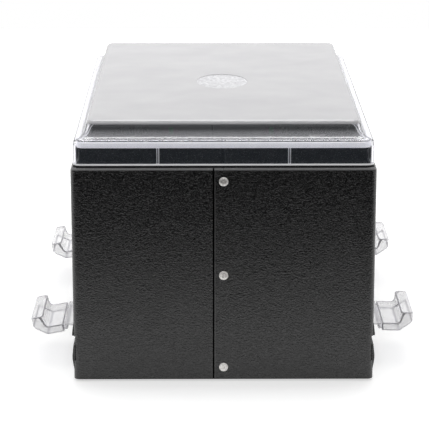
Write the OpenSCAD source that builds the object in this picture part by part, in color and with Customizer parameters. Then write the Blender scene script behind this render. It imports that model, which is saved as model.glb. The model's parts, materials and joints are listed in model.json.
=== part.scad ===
// Filament dryer box: a folded sheet case with a clear lift-off lid, four spool stations on
// rollers, a fan heater bay behind a partition, and four clear fold-down hooks on its sides.
// X runs across the case, Y along it (the heater bay is at +Y) and Z is up.
// The origin is on the table, under the middle of the case.

/* [Case] */
// Width of the case
body_w = 260; // [252:1:300]
// Length of the case
body_l = 404; // [384:1:440]
// Height of the case wall, from its lower edge to the ledge under the lid
body_h = 189; // [186:1:210]
// Thickness of the steel sheet
sheet_t = 1; // [0.8:0.1:1.2]
// Outer radius of the upright corners
corner_r = 5; // [4:0.5:8]
// Outer radius of the bend at the top of the wall
bend_r = 2.5; // [1.5:0.25:3.5]
// Width of the ledge between the wall and the neck
ledge_w = 6.5; // [5.5:0.25:8]
// Height of the neck above the ledge
neck_h = 16; // [12:0.5:17]
// Width of the flange under the case
flange_w = 14; // [12:1:20]
// Half the width of the riveted lap
lap_w = 8.5; // [7:0.5:12]
// Height of the lowest rivet above the case's lower edge
rivet_low = 11; // [9:0.5:16]
// Depth of the top rivet below the ledge
rivet_top = 12; // [10:0.5:16]
// Radius of a rivet's head
rivet_head_r = 4; // [3:0.25:5]
// Height of a rivet's domed head
rivet_head_h = 1.2; // [0.8:0.1:1.6]
// Radius of a rivet's shank
rivet_r = 2; // [1.5:0.1:2.4]
// Radius of a rubber foot
foot_r = 6; // [5:0.5:7]
// Height of a rubber foot
foot_h = 2; // [1.5:0.5:5]

/* [Corner vents] */
// Height of a corner vent's gap above the case's lower edge
vent_z = 30.5; // [26:0.5:40]
// Height of a corner vent's gap
vent_h = 8; // [5:0.5:10]
// Length of a corner vent along the side wall
vent_l = 26; // [16:1:34]
// How far the pressed lips stand out of the side wall
lip_out = 1.3; // [0.8:0.1:2]
// Height of the upper lip
upper_lip_h = 11; // [8:0.5:13]
// Height of the lower lip
lower_lip_h = 22; // [16:0.5:25]

// Width of the slot in the case's corner beside the lower lip
vent_slot_w = 2; // [1.4:0.1:2.4]
// Height of the slot in the case's corner
vent_slot_h = 14; // [8:1:18]

/* [Lid] */
// Wall thickness of the lid
lid_t = 2.2; // [1.8:0.1:3]
// How far the lid's rim sits inside the case wall
rim_in = 1.9; // [1.5:0.1:2.5]
// Height of the lid's rim
rim_h = 21.5; // [20:0.5:24]
// Height of the raised panel above the rim
riser_h = 15; // [12:0.5:20]
// Width of the slope between the rim and the raised panel
riser_w = 13.5; // [10:0.5:18]
// Corner radius of the lid's rim
rim_r = 7; // [6:0.5:10]
// Spacing of the centring ribs inside the rim
rib_gap = 111.4; // [90:1:115]
// Width of a centring rib
rib_w = 2.5; // [1.5:0.25:4]
// Width of the seal under the lid's shoulder
seal_w = 4; // [3:0.5:5]
// Width of the oval recess in the raised panel
badge_w = 47; // [30:1:56]
// Length of the oval recess in the raised panel
badge_l = 67; // [40:1:80]

/* [Hooks] */
// Length of a hook along the case
hook_l = 65; // [50:1:70]
// Distance between the two hooks on one side
hook_pitch = 240; // [220:1:250]
// Height of a hook tongue's top above the table
hook_z = 37; // [36:0.2:44]
// Thickness of the hook's arm
arm_t = 7.2; // [5:0.2:7.4]
// Reach of a hook from its hinge pin to its tip
arm_reach = 29.6; // [26:0.2:31]
// Width of the upturned tip
tip_w = 10.8; // [9:0.2:14]
// Height of the tip above the arm
tip_h = 10.4; // [7:0.2:14]
// Thickness of the tongue that passes through the wall
tongue_t = 2.2; // [2:0.1:2.6]
// Distance from the wall to the hinge pin
pin_out = 9.2; // [8:0.2:12]
// Radius of the hinge pin
hinge_pin_r = 0.75; // [0.6:0.05:0.9]
// Radial running clearance of the hinge pin
hinge_clear = 0.05; // [0.03:0.01:0.1]
// Angle at which the left hooks hang below level
left_droop = 11; // [0:1:15]
// Angle at which the right hooks hang below level
right_droop = 2; // [0:1:15]

/* [Spool stations] */
// Number of spool stations
stations = 4; // [3:1:4]
// Gap between neighbouring rollers
roller_gap = 9; // [6:0.5:14]
// Outer radius of a roller
roller_r = 8; // [6:0.5:9]
// Radius of the roller shafts
shaft_r = 3; // [2.5:0.25:4]
// Radial running clearance of a roller on its shaft
roller_clear = 0.06; // [0.03:0.01:0.1]
// Distance between the two shafts
shaft_gap = 120; // [104:1:130]
// Height of the shafts above the chamber floor
shaft_up = 13; // [12:0.5:16]
// Height of the chamber floor above the table
floor_z = 16; // [14:0.5:20]

/* [Heater bay] */
// Length of the heater bay behind the partition
bay_l = 100; // [96:1:100]
// Width and height of the fan frame
fan_w = 80; // [70:1:84]
// Depth of the fan frame
fan_d = 15; // [12:1:20]
// Number of fan blades
blades = 7; // [5:1:9]
// Depth of the heater block
heater_d = 20; // [16:1:26]
// Width of the heater block
heater_w = 76; // [60:1:80]
// Height of the heater block
heater_h = 60; // [50:1:66]

/* [Control panel] */
// Width of the control panel
panel_w = 150; // [130:1:170]
// Height of the control panel
panel_h = 58; // [52:1:60]
// Depth of the middle of the control panel below the ledge
panel_down = 50; // [48:0.5:53]
// Thickness of the panel's flange outside the case
panel_t = 1; // [0.8:0.1:1.2]
// Radius of a button
button_r = 5; // [4:0.25:6]
// Distance between buttons
button_gap = 15; // [13:0.5:18]

/* [Hidden] */

$fn = 48;
eps = 0.01;
seat = 0.3;               // gap left beside parts that are only laid in or pushed on
screw_r = 1.5;
wall_in = body_w / 2 - sheet_t;       // inner face of a side wall
end_in = body_l / 2 - sheet_t;        // inner face of an end wall
case_z = foot_h;                      // lower edge of the case
ledge_z = case_z + body_h;            // top of the ledge
neck_top = ledge_z + neck_h;
pan_z = case_z + sheet_t;             // underside of the base pan
deck_z = pan_z + sheet_t;             // top of the base pan
gasket_t = 1.5;
rim_z = ledge_z + gasket_t;           // lower edge of the lid's rim
shoulder_z = rim_z + rim_h;           // top of the rim
lid_top = shoulder_z + riser_h;
neck_half_w = body_w / 2 - ledge_w;
neck_half_l = body_l / 2 - ledge_w;
rim_half_w = body_w / 2 - rim_in;
rim_half_l = body_l / 2 - rim_in;
part_y = end_in - bay_l;              // chamber face of the partition
clear_w = wall_in - 2.6;              // half width left clear between the hook brackets
panel_z = ledge_z - panel_down;
shaft_z = floor_z + sheet_t + shaft_up;
cradle_t = 6;
row_y = -end_in + 10;                  // near end of the row of stations
row_l = part_y - cradle_t - 2 - row_y; // length of the row of stations
station_pitch = row_l / stations;
roller_l = station_pitch - roller_gap;
screw_inset = 60;                      // distance of the end screws from the case's ends
hinge_z = hook_z - tongue_t - 1.8;    // height of the hinge pins
barrel_r = 1.5;
pin_x = body_w / 2 + pin_out;

// a rectangle with true round corners
module round_rect(w, l, r) {
    square([w - 2 * r, l], center = true);
    square([w, l - 2 * r], center = true);
    for (x = [-1, 1], y = [-1, 1]) translate([x * (w / 2 - r), y * (l / 2 - r)]) circle(r);
}

// an upright ring of sheet round a rectangle
module sheet_ring(w, l, r, t, h) {
    linear_extrude(h) difference() {
        round_rect(w, l, r);
        round_rect(w - 2 * t, l - 2 * t, max(r - t, 0.5));
    }
}

// carries a profile round a rectangle; the profile's x counts outwards from the corners' centres
module swept_ring(w, l, r) {
    for (q = [0:3]) rotate(q * 90) {
        long = q % 2 == 0 ? w / 2 - r : l / 2 - r;
        wide = q % 2 == 0 ? l / 2 - r : w / 2 - r;
        translate([long, wide, 0]) rotate_extrude(angle = 90) children();
        translate([long, wide, 0]) rotate([90, 0, 0]) linear_extrude(2 * wide) children();
    }
}

// one half of the case: side is -1 on the left and 1 on the right
module half_space(side, edge) {
    big = body_w + body_l;
    x = side < 0 ? -big : edge;
    w = side < 0 ? big + edge : big;
    translate([x, -big / 2, -1]) cube([w, big, lid_top + 2]);
}

module bent_edge() {
    translate([corner_r - bend_r, 0]) intersection() {
        difference() {
            circle(bend_r);
            circle(bend_r - sheet_t);
        }
        square(bend_r + 1);
    }
}

module case_wall(lap_edge, side) {
    intersection() {
        translate([0, 0, case_z]) sheet_ring(body_w, body_l, corner_r, sheet_t, body_h - bend_r);
        half_space(side, lap_edge);
    }
}

module case_top(side) {
    butt = side * 0.15;
    intersection() {
        union() {
            translate([0, 0, ledge_z - bend_r]) swept_ring(body_w, body_l, corner_r) bent_edge();
            translate([0, 0, ledge_z - sheet_t]) linear_extrude(sheet_t) difference() {
                round_rect(body_w - 2 * bend_r, body_l - 2 * bend_r, corner_r - bend_r + eps);
                round_rect(2 * (neck_half_w - sheet_t), 2 * (neck_half_l - sheet_t), 1.5);
            }
            translate([0, 0, ledge_z - eps])
                sheet_ring(2 * neck_half_w, 2 * neck_half_l, 2.5, sheet_t, neck_h + eps);
        }
        half_space(side, butt);
    }
}

module case_flange(side) {
    intersection() {
        translate([0, 0, case_z]) linear_extrude(sheet_t) difference() {
            round_rect(body_w, body_l, corner_r);
            square([body_w - 2 * flange_w, body_l - 2 * flange_w], center = true);
        }
        half_space(side, side * 0.15);
    }
}

module at_rivets(end) {
    for (k = [0:2]) translate([0, end * body_l / 2, case_z + rivet_low + k * (body_h - rivet_low - rivet_top) / 2])
        rotate([end < 0 ? 90 : -90, 0, 0]) children();
}

hook_places = [[-1, -1], [-1, 1], [1, -1], [1, 1]];

module at_hook(place) {
    translate([0, place[1] * hook_pitch / 2, 0]) mirror([place[0] < 0 ? 1 : 0, 0, 0]) children();
}

module hook_slots() {
    for (p = hook_places) at_hook(p)
        translate([wall_in - 1, -hook_l / 2 - seat, hook_z - tongue_t - seat])
            cube([sheet_t + 2, hook_l + 2 * seat, tongue_t + 2 * seat]);
}

// the gap of a corner vent, cut through the side wall and the corner bend
module vent_gaps() {
    for (x = [-1, 1], y = [-1, 1]) translate([x * body_w / 2, y * (body_l / 2 - vent_l / 2), case_z + vent_z])
        translate([-1.7, -vent_l / 2 - 1, 0]) cube([3.4, vent_l + 2, vent_h]);
    // the corner's own slot, beside the lower lip
    for (x = [-1, 1], y = [-1, 1]) scale([x, y, 1])
        translate([body_w / 2 - vent_slot_w, body_l / 2 - corner_r + 1.5, case_z + vent_z - vent_slot_h])
            cube([vent_slot_w + 1, corner_r, vent_slot_h + 1]);
}

// the pressed lips above and below a corner vent's gap
module vent_lips(side) {
    low = case_z + vent_z;
    high = low + vent_h;
    for (y = [-1, 1]) scale([side, y, 1])
        translate([body_w / 2, body_l / 2 - corner_r + 1, 0]) rotate([90, 0, 0]) linear_extrude(vent_l - corner_r) {
            polygon([[-sheet_t, high], [lip_out, high], [lip_out, high + 2], [0.2, high + upper_lip_h], [-sheet_t, high + upper_lip_h]]);
            polygon([[-sheet_t, low], [0.2, low], [lip_out, low - 0.45 * lower_lip_h], [lip_out, low - 0.6 * lower_lip_h],
                     [0, low - lower_lip_h], [-sheet_t, low - lower_lip_h]]);
        }
}

outlet_z = ledge_z - 22;
outlet_r = 2.1;
outlet_hole_r = 5;
module at_outlets() {
    for (k = [0:stations - 1]) translate([body_w / 2, row_y + (k + 0.5) * station_pitch, outlet_z])
        rotate([0, 90, 0]) children();
}

inlet_x = -78;
switch_x = 78;
socket_z = 58;
inlet_w = 27;
inlet_h = 20;
switch_w = 19;
switch_h = 27;
module panel_cutouts() {
    for (c = [[0, panel_z, panel_w - 8, panel_h - 8], [inlet_x, socket_z, inlet_w, inlet_h], [switch_x, socket_z, switch_w, switch_h]])
        translate([c[0], body_l / 2, c[1]]) cube([c[2] + 2 * seat, 8, c[3] + 2 * seat], center = true);
}

module rivet_holes() {
    for (end = [-1, 1]) at_rivets(end) cylinder(r = rivet_r + 0.1, h = 10, center = true);
}

module flange_holes() {
    for (x = [-1, 1], y = [-1, 0, 1])
        translate([x * (body_w / 2 - flange_w / 2), y * (body_l / 2 - screw_inset), case_z - 1]) cylinder(r = screw_r + 0.2, h = 4);
}

module body_left() {
    color("#2b2b2c") difference() {
        union() {
            case_wall(-lap_w - 0.2, -1);
            case_top(-1);
            case_flange(-1);
            vent_lips(-1);
            // inner tongues of the two riveted laps
            for (end = [-1, 1]) translate([-lap_w - 6, end < 0 ? -end_in : end_in - sheet_t, case_z + sheet_t])
                cube([2 * lap_w + 6, sheet_t, body_h - 6]);
            // their roots, welded into the wall
            for (end = [-1, 1]) translate([-lap_w - 6, end * end_in - sheet_t / 2, case_z + sheet_t])
                cube([5, sheet_t, body_h - 6]);
        }
        // room for the right half's laps at the foot of the wall
        for (end = [-1, 1]) translate([-lap_w - 0.2, end < 0 ? -body_l / 2 - eps : end_in, case_z - eps])
            cube([lap_w + 1, sheet_t + eps, sheet_t + eps]);
        vent_gaps();
        hook_slots();
        rivet_holes();
        flange_holes();
        panel_cutouts();
    }
}

module body_right() {
    color("#2b2b2c") difference() {
        union() {
            case_wall(-lap_w, 1);
            case_top(1);
            case_flange(1);
            vent_lips(1);
        }
        vent_gaps();
        hook_slots();
        rivet_holes();
        flange_holes();
        panel_cutouts();
        at_outlets() cylinder(r = outlet_hole_r + 0.1, h = 8, center = true);
    }
}

module seam_rivets() {
    dome = (rivet_head_r * rivet_head_r + rivet_head_h * rivet_head_h) / (2 * rivet_head_h);
    color("#b9bbbd") for (end = [-1, 1]) at_rivets(end) {
        translate([0, 0, -2 * sheet_t - 1.5]) cylinder(r = rivet_r, h = 2 * sheet_t + 1.5 + 0.2);
        translate([0, 0, -2 * sheet_t - 1.5]) cylinder(r = rivet_r + 1, h = 1.5);
        intersection() {
            translate([0, 0, rivet_head_h - dome]) sphere(dome, $fn = 64);
            cylinder(r = rivet_head_r, h = rivet_head_h);
        }
    }
}

pan_w = 2 * (wall_in - seat);
pan_l = 2 * (end_in - sheet_t - seat);
pan_lip = 6;
module base_pan() {
    color("#2a2a2b") difference() {
        union() {
            translate([0, 0, pan_z]) linear_extrude(sheet_t) round_rect(pan_w, pan_l, corner_r - sheet_t);
            translate([0, 0, pan_z]) sheet_ring(pan_w, pan_l, corner_r - sheet_t, sheet_t, pan_lip);
        }
        for (x = [-1, 1], y = [-1, 0, 1])
            translate([x * (body_w / 2 - flange_w / 2), y * (body_l / 2 - screw_inset), case_z]) cylinder(r = screw_r + 0.1, h = 5);
        // air intake slots under the fan
        for (k = [-4:4]) translate([k * 8, part_y + 62, pan_z - 1]) {
            translate([-2, -14, 0]) cube([4, 28, 4]);
            for (y = [-14, 14]) translate([0, y, 0]) cylinder(r = 2, h = 4);
        }
    }
}

module base_screws() {
    color("#c4c6c8") for (x = [-1, 1], y = [-1, 0, 1])
        translate([x * (body_w / 2 - flange_w / 2), y * (body_l / 2 - screw_inset), case_z]) {
            translate([0, 0, -1.2]) cylinder(r1 = 2, r2 = 2.8, h = 1.2);
            translate([0, 0, -eps]) cylinder(r = screw_r, h = 5);
        }
}

module rubber_feet() {
    inset = 20;
    color("#1c1c1c") for (x = [-1, 1], y = [-1, 1]) translate([x * (body_w / 2 - foot_r - 1), y * (body_l / 2 - inset), 0])
        rotate_extrude() polygon([[0, 0], [foot_r - 1, 0], [foot_r, 1], [foot_r, foot_h], [0, foot_h]]);
}

floor_y0 = -pan_l / 2 + sheet_t + 0.8;
floor_w = 2 * clear_w;
module chamber_floor() {
    leg = floor_z - deck_z;
    color("#2a2a2b") difference() {
        union() {
            translate([-floor_w / 2, floor_y0, floor_z]) cube([floor_w, part_y - floor_y0, sheet_t]);
            for (x = [-1, 1]) translate([x * (floor_w / 2 - sheet_t / 2), 0, 0])
                translate([-sheet_t / 2, floor_y0, deck_z]) cube([sheet_t, part_y - floor_y0, leg + eps]);
        }
        // rows of air slots between the shafts
        for (i = [0:7], j = [-1:1]) translate([j * 30, row_y + (i + 0.5) * row_l / 8, floor_z - 1]) {
            translate([-9, -2.5, 0]) cube([18, 5, 3]);
            for (x = [-9, 9]) translate([x, 0, 0]) cylinder(r = 2.5, h = 3);
        }
    }
}

duct_z = 70;                 // middle of the hot air opening
module partition() {
    h = ledge_z - 4 - deck_z;
    color("#2a2a2b") difference() {
        union() {
            translate([-clear_w, part_y, deck_z]) cube([2 * clear_w, sheet_t, h]);
            for (z = [0, h - sheet_t]) translate([-clear_w, part_y, deck_z + z]) cube([2 * clear_w, 10, sheet_t]);
        }
        // hot air louvres in front of the heater
        for (k = [-3:3]) translate([0, part_y - 1, duct_z + k * 8]) {
            translate([-heater_w / 2 + 8, 0, -2]) cube([heater_w - 16, 3, 4]);
            for (x = [-1, 1]) translate([x * (heater_w / 2 - 8), 0, 0]) rotate([-90, 0, 0]) cylinder(r = 2, h = 3);
        }
        // return air slots near the top
        for (x = [-1, 1], k = [0:4]) translate([x * (50 + k * 13), part_y - 1, ledge_z - 40]) {
            translate([-2.5, 0, -10]) cube([5, 3, 20]);
            for (z = [-10, 10]) translate([0, 0, z]) rotate([-90, 0, 0]) cylinder(r = 2.5, h = 3);
        }
    }
}

module bay_cover() {
    z = ledge_z - 4;
    far = end_in - sheet_t - 1.8;
    color("#3a3b3d") difference() {
        union() {
            translate([-clear_w, part_y, z]) cube([2 * clear_w, far - part_y, 1.2]);
            translate([-clear_w, far - 1.2, z - 10]) cube([2 * clear_w, 1.2, 10 + eps]);
        }
        for (x = [-1, 1]) translate([x * 90, part_y + 45, z - 1]) cylinder(r = 10, h = 4);
    }
}

module lid_gasket() {
    color("#151515") translate([0, 0, ledge_z]) linear_extrude(gasket_t) difference() {
        round_rect(2 * rim_half_w, 2 * rim_half_l, rim_r);
        round_rect(2 * (neck_half_w + seat), 2 * (neck_half_l + seat), 3);
    }
}

// outline of the lid's skin as [distance in from the rim, height], from the rim's edge to the panel
slope_steps = 9;
function eased(t) = let(s = pow(t, 1.15)) s * s * (3 - 2 * s);
lid_outline = concat(
    [[0, rim_z], [0.6, shoulder_z - 2.6], [0.9, shoulder_z - 1.2], [1.7, shoulder_z - 0.3]],
    [for (k = [0:slope_steps]) let(t = k / slope_steps)
        [2.4 + (riser_w - 2.4) * t, shoulder_z + riser_h * eased(t)]]);

function unit(v) = v / norm(v);
function inward(path, i) = let(
    a = path[max(i - 1, 0)],
    b = path[min(i + 1, len(path) - 1)],
    d = unit(b - a)) [d[1], -d[0]];
function thickened(path, t) = [for (i = [0:len(path) - 1]) path[i] + t * inward(path, i)];

// a skin through rounded rectangles, one for each [inset, height] of the outline
corner_steps = 6;
function rim_ring(inset, z) = let(
    r = rim_r * (1 - 0.5 * max(inset, 0) / riser_w),
    cx = rim_half_w - inset - r,
    cy = rim_half_l - inset - r)
    [for (c = [0:3], s = [0:corner_steps]) let(
        a = 90 * c + 90 * s / corner_steps,
        sx = (c == 0 || c == 3) ? 1 : -1,
        sy = c < 2 ? 1 : -1)
        [sx * cx + r * cos(a), sy * cy + r * sin(a), z]];

module lofted(path) {
    n = 4 * (corner_steps + 1);
    last = len(path) - 1;
    polyhedron(
        points = [for (p = path) each rim_ring(p[0], p[1])],
        faces = concat(
            [[for (i = [0:n - 1]) i]],
            [for (k = [0:last - 1], i = [0:n - 1]) let(j = (i + 1) % n)
                [k * n + i, k * n + n + i, k * n + n + j, k * n + j]],
            [[for (i = [n - 1:-1:0]) last * n + i]]));
}

badge_y = -17.5;
seal_gap = 0.2;              // between the neck's edge and the seal
rib_depth = ledge_w - rim_in - lid_t - seat + 0.6;
module lid() {
    inner = thickened(lid_outline, lid_t);
    hollow = concat([[inner[0][0], rim_z - 1]], [for (p = inner) [p[0], min(p[1], lid_top - lid_t)]]);
    rib_z = neck_top + seal_gap - rim_z;
    color("#e9ebee", 0.5) {
        difference() {
            lofted(lid_outline);
            lofted(hollow);
            translate([0, badge_y, lid_top - 0.5]) linear_extrude(1) scale([1, badge_l / badge_w]) circle(d = badge_w);
        }
        // centring ribs between the rim and the neck
        for (end = [-1, 1], x = [-1, 1])
            translate([x * rib_gap / 2 - rib_w / 2, end * (neck_half_l + seat + rib_depth / 2) - rib_depth / 2, rim_z])
                cube([rib_w, rib_depth, rib_z]);
        for (side = [-1, 1], y = [-1, 0, 1])
            translate([side * (neck_half_w + seat + rib_depth / 2) - rib_depth / 2, y * rib_gap - rib_w / 2, rim_z])
                cube([rib_depth, rib_w, rib_z]);
    }
}

// translucent seal stuck under the lid's shoulder, over the edge of the neck
module lid_seal() {
    outer = rim_in + lid_t + seat + 0.5;
    color("#e2e2e4") translate([0, 0, neck_top + seal_gap]) linear_extrude(shoulder_z - lid_t - neck_top - seal_gap) difference() {
        round_rect(body_w - 2 * outer, body_l - 2 * outer, rim_r);
        round_rect(body_w - 2 * (outer + seal_w), body_l - 2 * (outer + seal_w), 3);
    }
}

knuckle_l = hook_l * 0.3;
module at_hinge() {
    translate([pin_x, 0, hinge_z]) children();
}

module hook_brackets() {
    color("#e4e4e6", 0.6) for (p = hook_places) at_hook(p) difference() {
        union() {
            translate([wall_in - 2.2, -hook_l / 2 - 6, hook_z - 10]) cube([2.2, hook_l + 12, 16]);
            translate([wall_in - 1, -hook_l / 2, hook_z - tongue_t])
                cube([pin_x + 1.7 - wall_in + 1, hook_l, tongue_t]);
            at_hinge() rotate([90, 0, 0])
                cylinder(r = barrel_r, h = hook_l - 2 * knuckle_l - 2 * seat, center = true);
            at_hinge() translate([-1.2, -(hook_l / 2 - knuckle_l - seat), 0])
                cube([2.4, hook_l - 2 * knuckle_l - 2 * seat, 1.9]);
        }
        at_hinge() rotate([90, 0, 0]) cylinder(r = hinge_pin_r + hinge_clear, h = hook_l, center = true);
    }
}

module hook_pins() {
    color("#b5b8bb") for (p = hook_places) at_hook(p) at_hinge() rotate([90, 0, 0])
        cylinder(r = hinge_pin_r, h = hook_l - 2, center = true);
}

// a J-shaped arm, with its hinge pin along Y at the origin
module hook_arm() {
    top = hook_z - hinge_z;
    under = top - arm_t;
    inner_r = 4;                // fillet between the arm and the tip
    inner_x = arm_reach - tip_w;
    color("#e4e4e6", 0.6) difference() {
        union() {
            rotate([90, 0, 0]) linear_extrude(hook_l, center = true) polygon(concat(
                [[2, under + 0.4], [2.4, under], [arm_reach - 11.6, under], [arm_reach, top + tip_h - 9],
                 [arm_reach, top + tip_h - 0.5], [arm_reach - 0.5, top + tip_h], [inner_x, top + tip_h]],
                [for (a = [10:20:90]) [inner_x - inner_r + inner_r * cos(a - 10), top + inner_r - inner_r * sin(a)]],
                [[2, top]]));
            for (s = [-1, 1]) translate([0, s * (hook_l - knuckle_l) / 2, 0]) rotate([90, 0, 0])
                linear_extrude(knuckle_l, center = true) {
                    circle(barrel_r);
                    polygon([[0, -barrel_r], [2.5, under], [2.5, barrel_r - 0.4], [0, barrel_r - 0.4]]);
                }
        }
        rotate([90, 0, 0]) cylinder(r = hinge_pin_r + hinge_clear, h = hook_l + 2, center = true);
    }
}

module hook(place, droop) {
    at_hook(place) at_hinge() rotate([0, droop, 0]) hook_arm();
}

// ---- spool stations ----
function station_y(k) = row_y + (k + 0.5) * station_pitch;
shaft_l = row_l + 2 * cradle_t + 2;

module roller_shaft(side) {
    color("#c9ccd0") translate([side * shaft_gap / 2, row_y - cradle_t - 1, shaft_z]) rotate([-90, 0, 0]) {
        cylinder(r = shaft_r, h = shaft_l);
    }
}

module roller(side, k) {
    bore = shaft_r + roller_clear;
    grip = roller_l / 6;
    half = roller_l / 2;
    color("#3c3f42") translate([side * shaft_gap / 2, station_y(k - 1), shaft_z]) rotate([-90, 0, 0])
        rotate_extrude() polygon([
            [bore, -half], [roller_r - 1, -half], [roller_r, 1 - half], [roller_r, -half + grip],
            [roller_r - 0.8, -half + grip + 0.8], [roller_r - 0.8, half - grip - 0.8], [roller_r, half - grip],
            [roller_r, half - 1], [roller_r - 1, half], [bore, half]]);
}

module roller_spacers() {
    color("#d8d9d6") for (side = [-1, 1], k = [0:stations]) {
        edge = k == 0 || k == stations;
        l = (edge ? roller_gap / 2 : roller_gap) - 0.6;
        y = row_y + k * station_pitch + (k == 0 ? roller_gap / 4 : k == stations ? -roller_gap / 4 : 0);
        translate([side * shaft_gap / 2, y, shaft_z]) rotate([-90, 0, 0]) difference() {
            cylinder(r = shaft_r + 2, h = l, center = true);
            cylinder(r = shaft_r + 0.03, h = l + 2, center = true);
        }
    }
}

// moulded end supports: a foot rail with two open cradles
module shaft_cradles() {
    up = shaft_z - floor_z - sheet_t;
    color("#2f3133") for (y = [row_y - cradle_t - 0.3, row_y + row_l + 0.3]) translate([0, y, floor_z + sheet_t])
        rotate([90, 0, 0]) mirror([0, 0, 1]) linear_extrude(cradle_t) difference() {
            union() {
                translate([-shaft_gap / 2 - 12, 0]) square([shaft_gap + 24, 5]);
                for (s = [-1, 1]) translate([s * shaft_gap / 2, 0]) {
                    polygon([[-11, 4], [-6.5, up], [-6.5, up + 3.5], [6.5, up + 3.5], [6.5, up], [11, 4]]);
                }
            }
            for (s = [-1, 1]) translate([s * shaft_gap / 2, up]) {
                circle(shaft_r + 0.05);
                translate([-shaft_r * 0.86, 0]) square([shaft_r * 1.72, 10]);
            }
        }
}

// ---- heater bay ----
heater_y = part_y + sheet_t;
fan_y = heater_y + heater_d;
fan_hole = fan_w / 2 - 3;
hub_r = fan_w * 0.22;
fan_pin_r = 1.5;
module at_fan() {
    translate([0, fan_y, duct_z]) rotate([-90, 0, 0]) children();
}

module fan_frame() {
    screw_at = fan_w / 2 - 4.25;
    color("#202122") at_fan() {
        difference() {
            translate([-fan_w / 2, -fan_w / 2, 0]) cube([fan_w, fan_w, fan_d]);
            translate([0, 0, -1]) cylinder(r = fan_hole, h = fan_d + 2, $fn = 96);
            for (x = [-1, 1], y = [-1, 1]) translate([x * screw_at, y * screw_at, -1]) cylinder(r = 2.1, h = fan_d + 2);
        }
        // motor plate on three arms, with the rotor's pin
        translate([0, 0, fan_d - 2]) cylinder(r = hub_r - 1, h = 2);
        for (a = [0:3]) rotate(45 + a * 90) translate([0, -2, fan_d - 2]) cube([fan_hole + 1, 4, 2]);
        translate([0, 0, 3]) cylinder(r = fan_pin_r, h = fan_d - 4);
    }
}

module fan_rotor() {
    deep = fan_d - 4;
    color("#2a2b2d") at_fan() translate([0, 0, 1]) difference() {
        union() {
            cylinder(r = hub_r, h = deep);
            intersection() {
                cylinder(r = fan_hole - 1, h = deep, $fn = 96);
                for (b = [0:blades - 1]) rotate(b * 360 / blades) translate([hub_r - 1, 0, deep / 2])
                    rotate([38, 0, 0]) translate([0, -9, -0.7]) cube([fan_hole - hub_r + 2, 18, 1.4]);
            }
        }
        translate([0, 0, 1.5]) cylinder(r = fan_pin_r + 0.06, h = deep);
    }
}

module heater_block() {
    fins = 15;
    pitch = (heater_w - 8) / fins;
    color("#b9bcc0") difference() {
        translate([-heater_w / 2 + 2, heater_y + 2, duct_z - heater_h / 2 + 2]) cube([heater_w - 4, heater_d - 4, heater_h - 4]);
        for (k = [0:fins - 1], row = [-1, 0, 1])
            translate([-heater_w / 2 + 4 + k * pitch + 0.6, heater_y, duct_z + row * (heater_h - 8) / 3 - (heater_h - 20) / 6])
                cube([pitch - 1.2, heater_d, (heater_h - 20) / 3]);
    }
}

module heater_frame() {
    color("#d9d4c6") difference() {
        translate([-fan_w / 2, heater_y, duct_z - fan_w / 2]) cube([fan_w, heater_d, fan_w]);
        translate([-heater_w / 2 + 2, heater_y - 1, duct_z - heater_h / 2 + 2]) cube([heater_w - 4, heater_d + 2, heater_h - 4]);
        for (x = [-1, 1], z = [-1, 1]) translate([x * (fan_w / 2 - 4.25), heater_y - 1, duct_z + z * (fan_w / 2 - 4.25)])
            rotate([-90, 0, 0]) cylinder(r = 1.6, h = heater_d + 2);
    }
}

// ---- control end ----
face_y = body_l / 2 + panel_t;
window_w = 58;
window_h = 30;
window_x = -panel_w / 2 + 45;
module at_buttons(k) {
    translate([panel_w / 2 - 14 - (2 - k) * button_gap, face_y, panel_z]) rotate([90, 0, 0]) children();
}

module control_panel() {
    frame_d = 9;
    color("#1b1c1e") difference() {
        union() {
            translate([0, body_l / 2, panel_z]) rotate([-90, 0, 0]) linear_extrude(panel_t) round_rect(panel_w, panel_h, 5);
            translate([-(panel_w - 8) / 2, body_l / 2 - frame_d, panel_z - (panel_h - 8) / 2])
                cube([panel_w - 8, frame_d + eps, panel_h - 8]);
        }
        translate([-(panel_w - 12) / 2, body_l / 2 - frame_d - 1, panel_z - (panel_h - 12) / 2])
            cube([panel_w - 12, frame_d - 1, panel_h - 12]);
        translate([window_x - window_w / 2, body_l / 2 - 5, panel_z - window_h / 2]) cube([window_w, 10, window_h]);
        for (k = [0:2]) at_buttons(k) cylinder(r = button_r + 0.2, h = 20, center = true);
    }
}

module display_window() {
    color("#101418") translate([window_x - window_w / 2 + 0.1, body_l / 2 - 2, panel_z - window_h / 2 + 0.1])
        cube([window_w - 0.2, 2 + panel_t - 0.2, window_h - 0.2]);
}

module display_module() {
    color("#1f5a3a") translate([window_x - window_w / 2 - 4, body_l / 2 - 6.4, panel_z - window_h / 2 - 4])
        cube([window_w + 8, 1.6, window_h + 8]);
    color("#30363a") translate([window_x - window_w / 2 + 1, body_l / 2 - 4.8 - eps, panel_z - window_h / 2 + 1])
        cube([window_w - 2, 2.6, window_h - 2]);
}

module button(k) {
    color("#d7d9db") at_buttons(k) {
        translate([0, 0, 0.1]) cylinder(r = button_r, h = 5);
        translate([0, 0, 3.2]) cylinder(r = button_r + 1, h = 1);
    }
}

module switch_housing() {
    color("#141414") translate([switch_x, body_l / 2, socket_z]) difference() {
        union() {
            translate([-switch_w / 2 - 2, 0, -switch_h / 2 - 2]) cube([switch_w + 4, panel_t, switch_h + 4]);
            translate([-switch_w / 2, -16, -switch_h / 2]) cube([switch_w, 16 + eps, switch_h]);
        }
        translate([-switch_w / 2 + 2, -9, -switch_h / 2 + 2]) cube([switch_w - 4, 20, switch_h - 4]);
        translate([-20, -rocker_in, 0]) rotate([0, 90, 0]) cylinder(r = 1.05, h = 40);
    }
}

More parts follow.
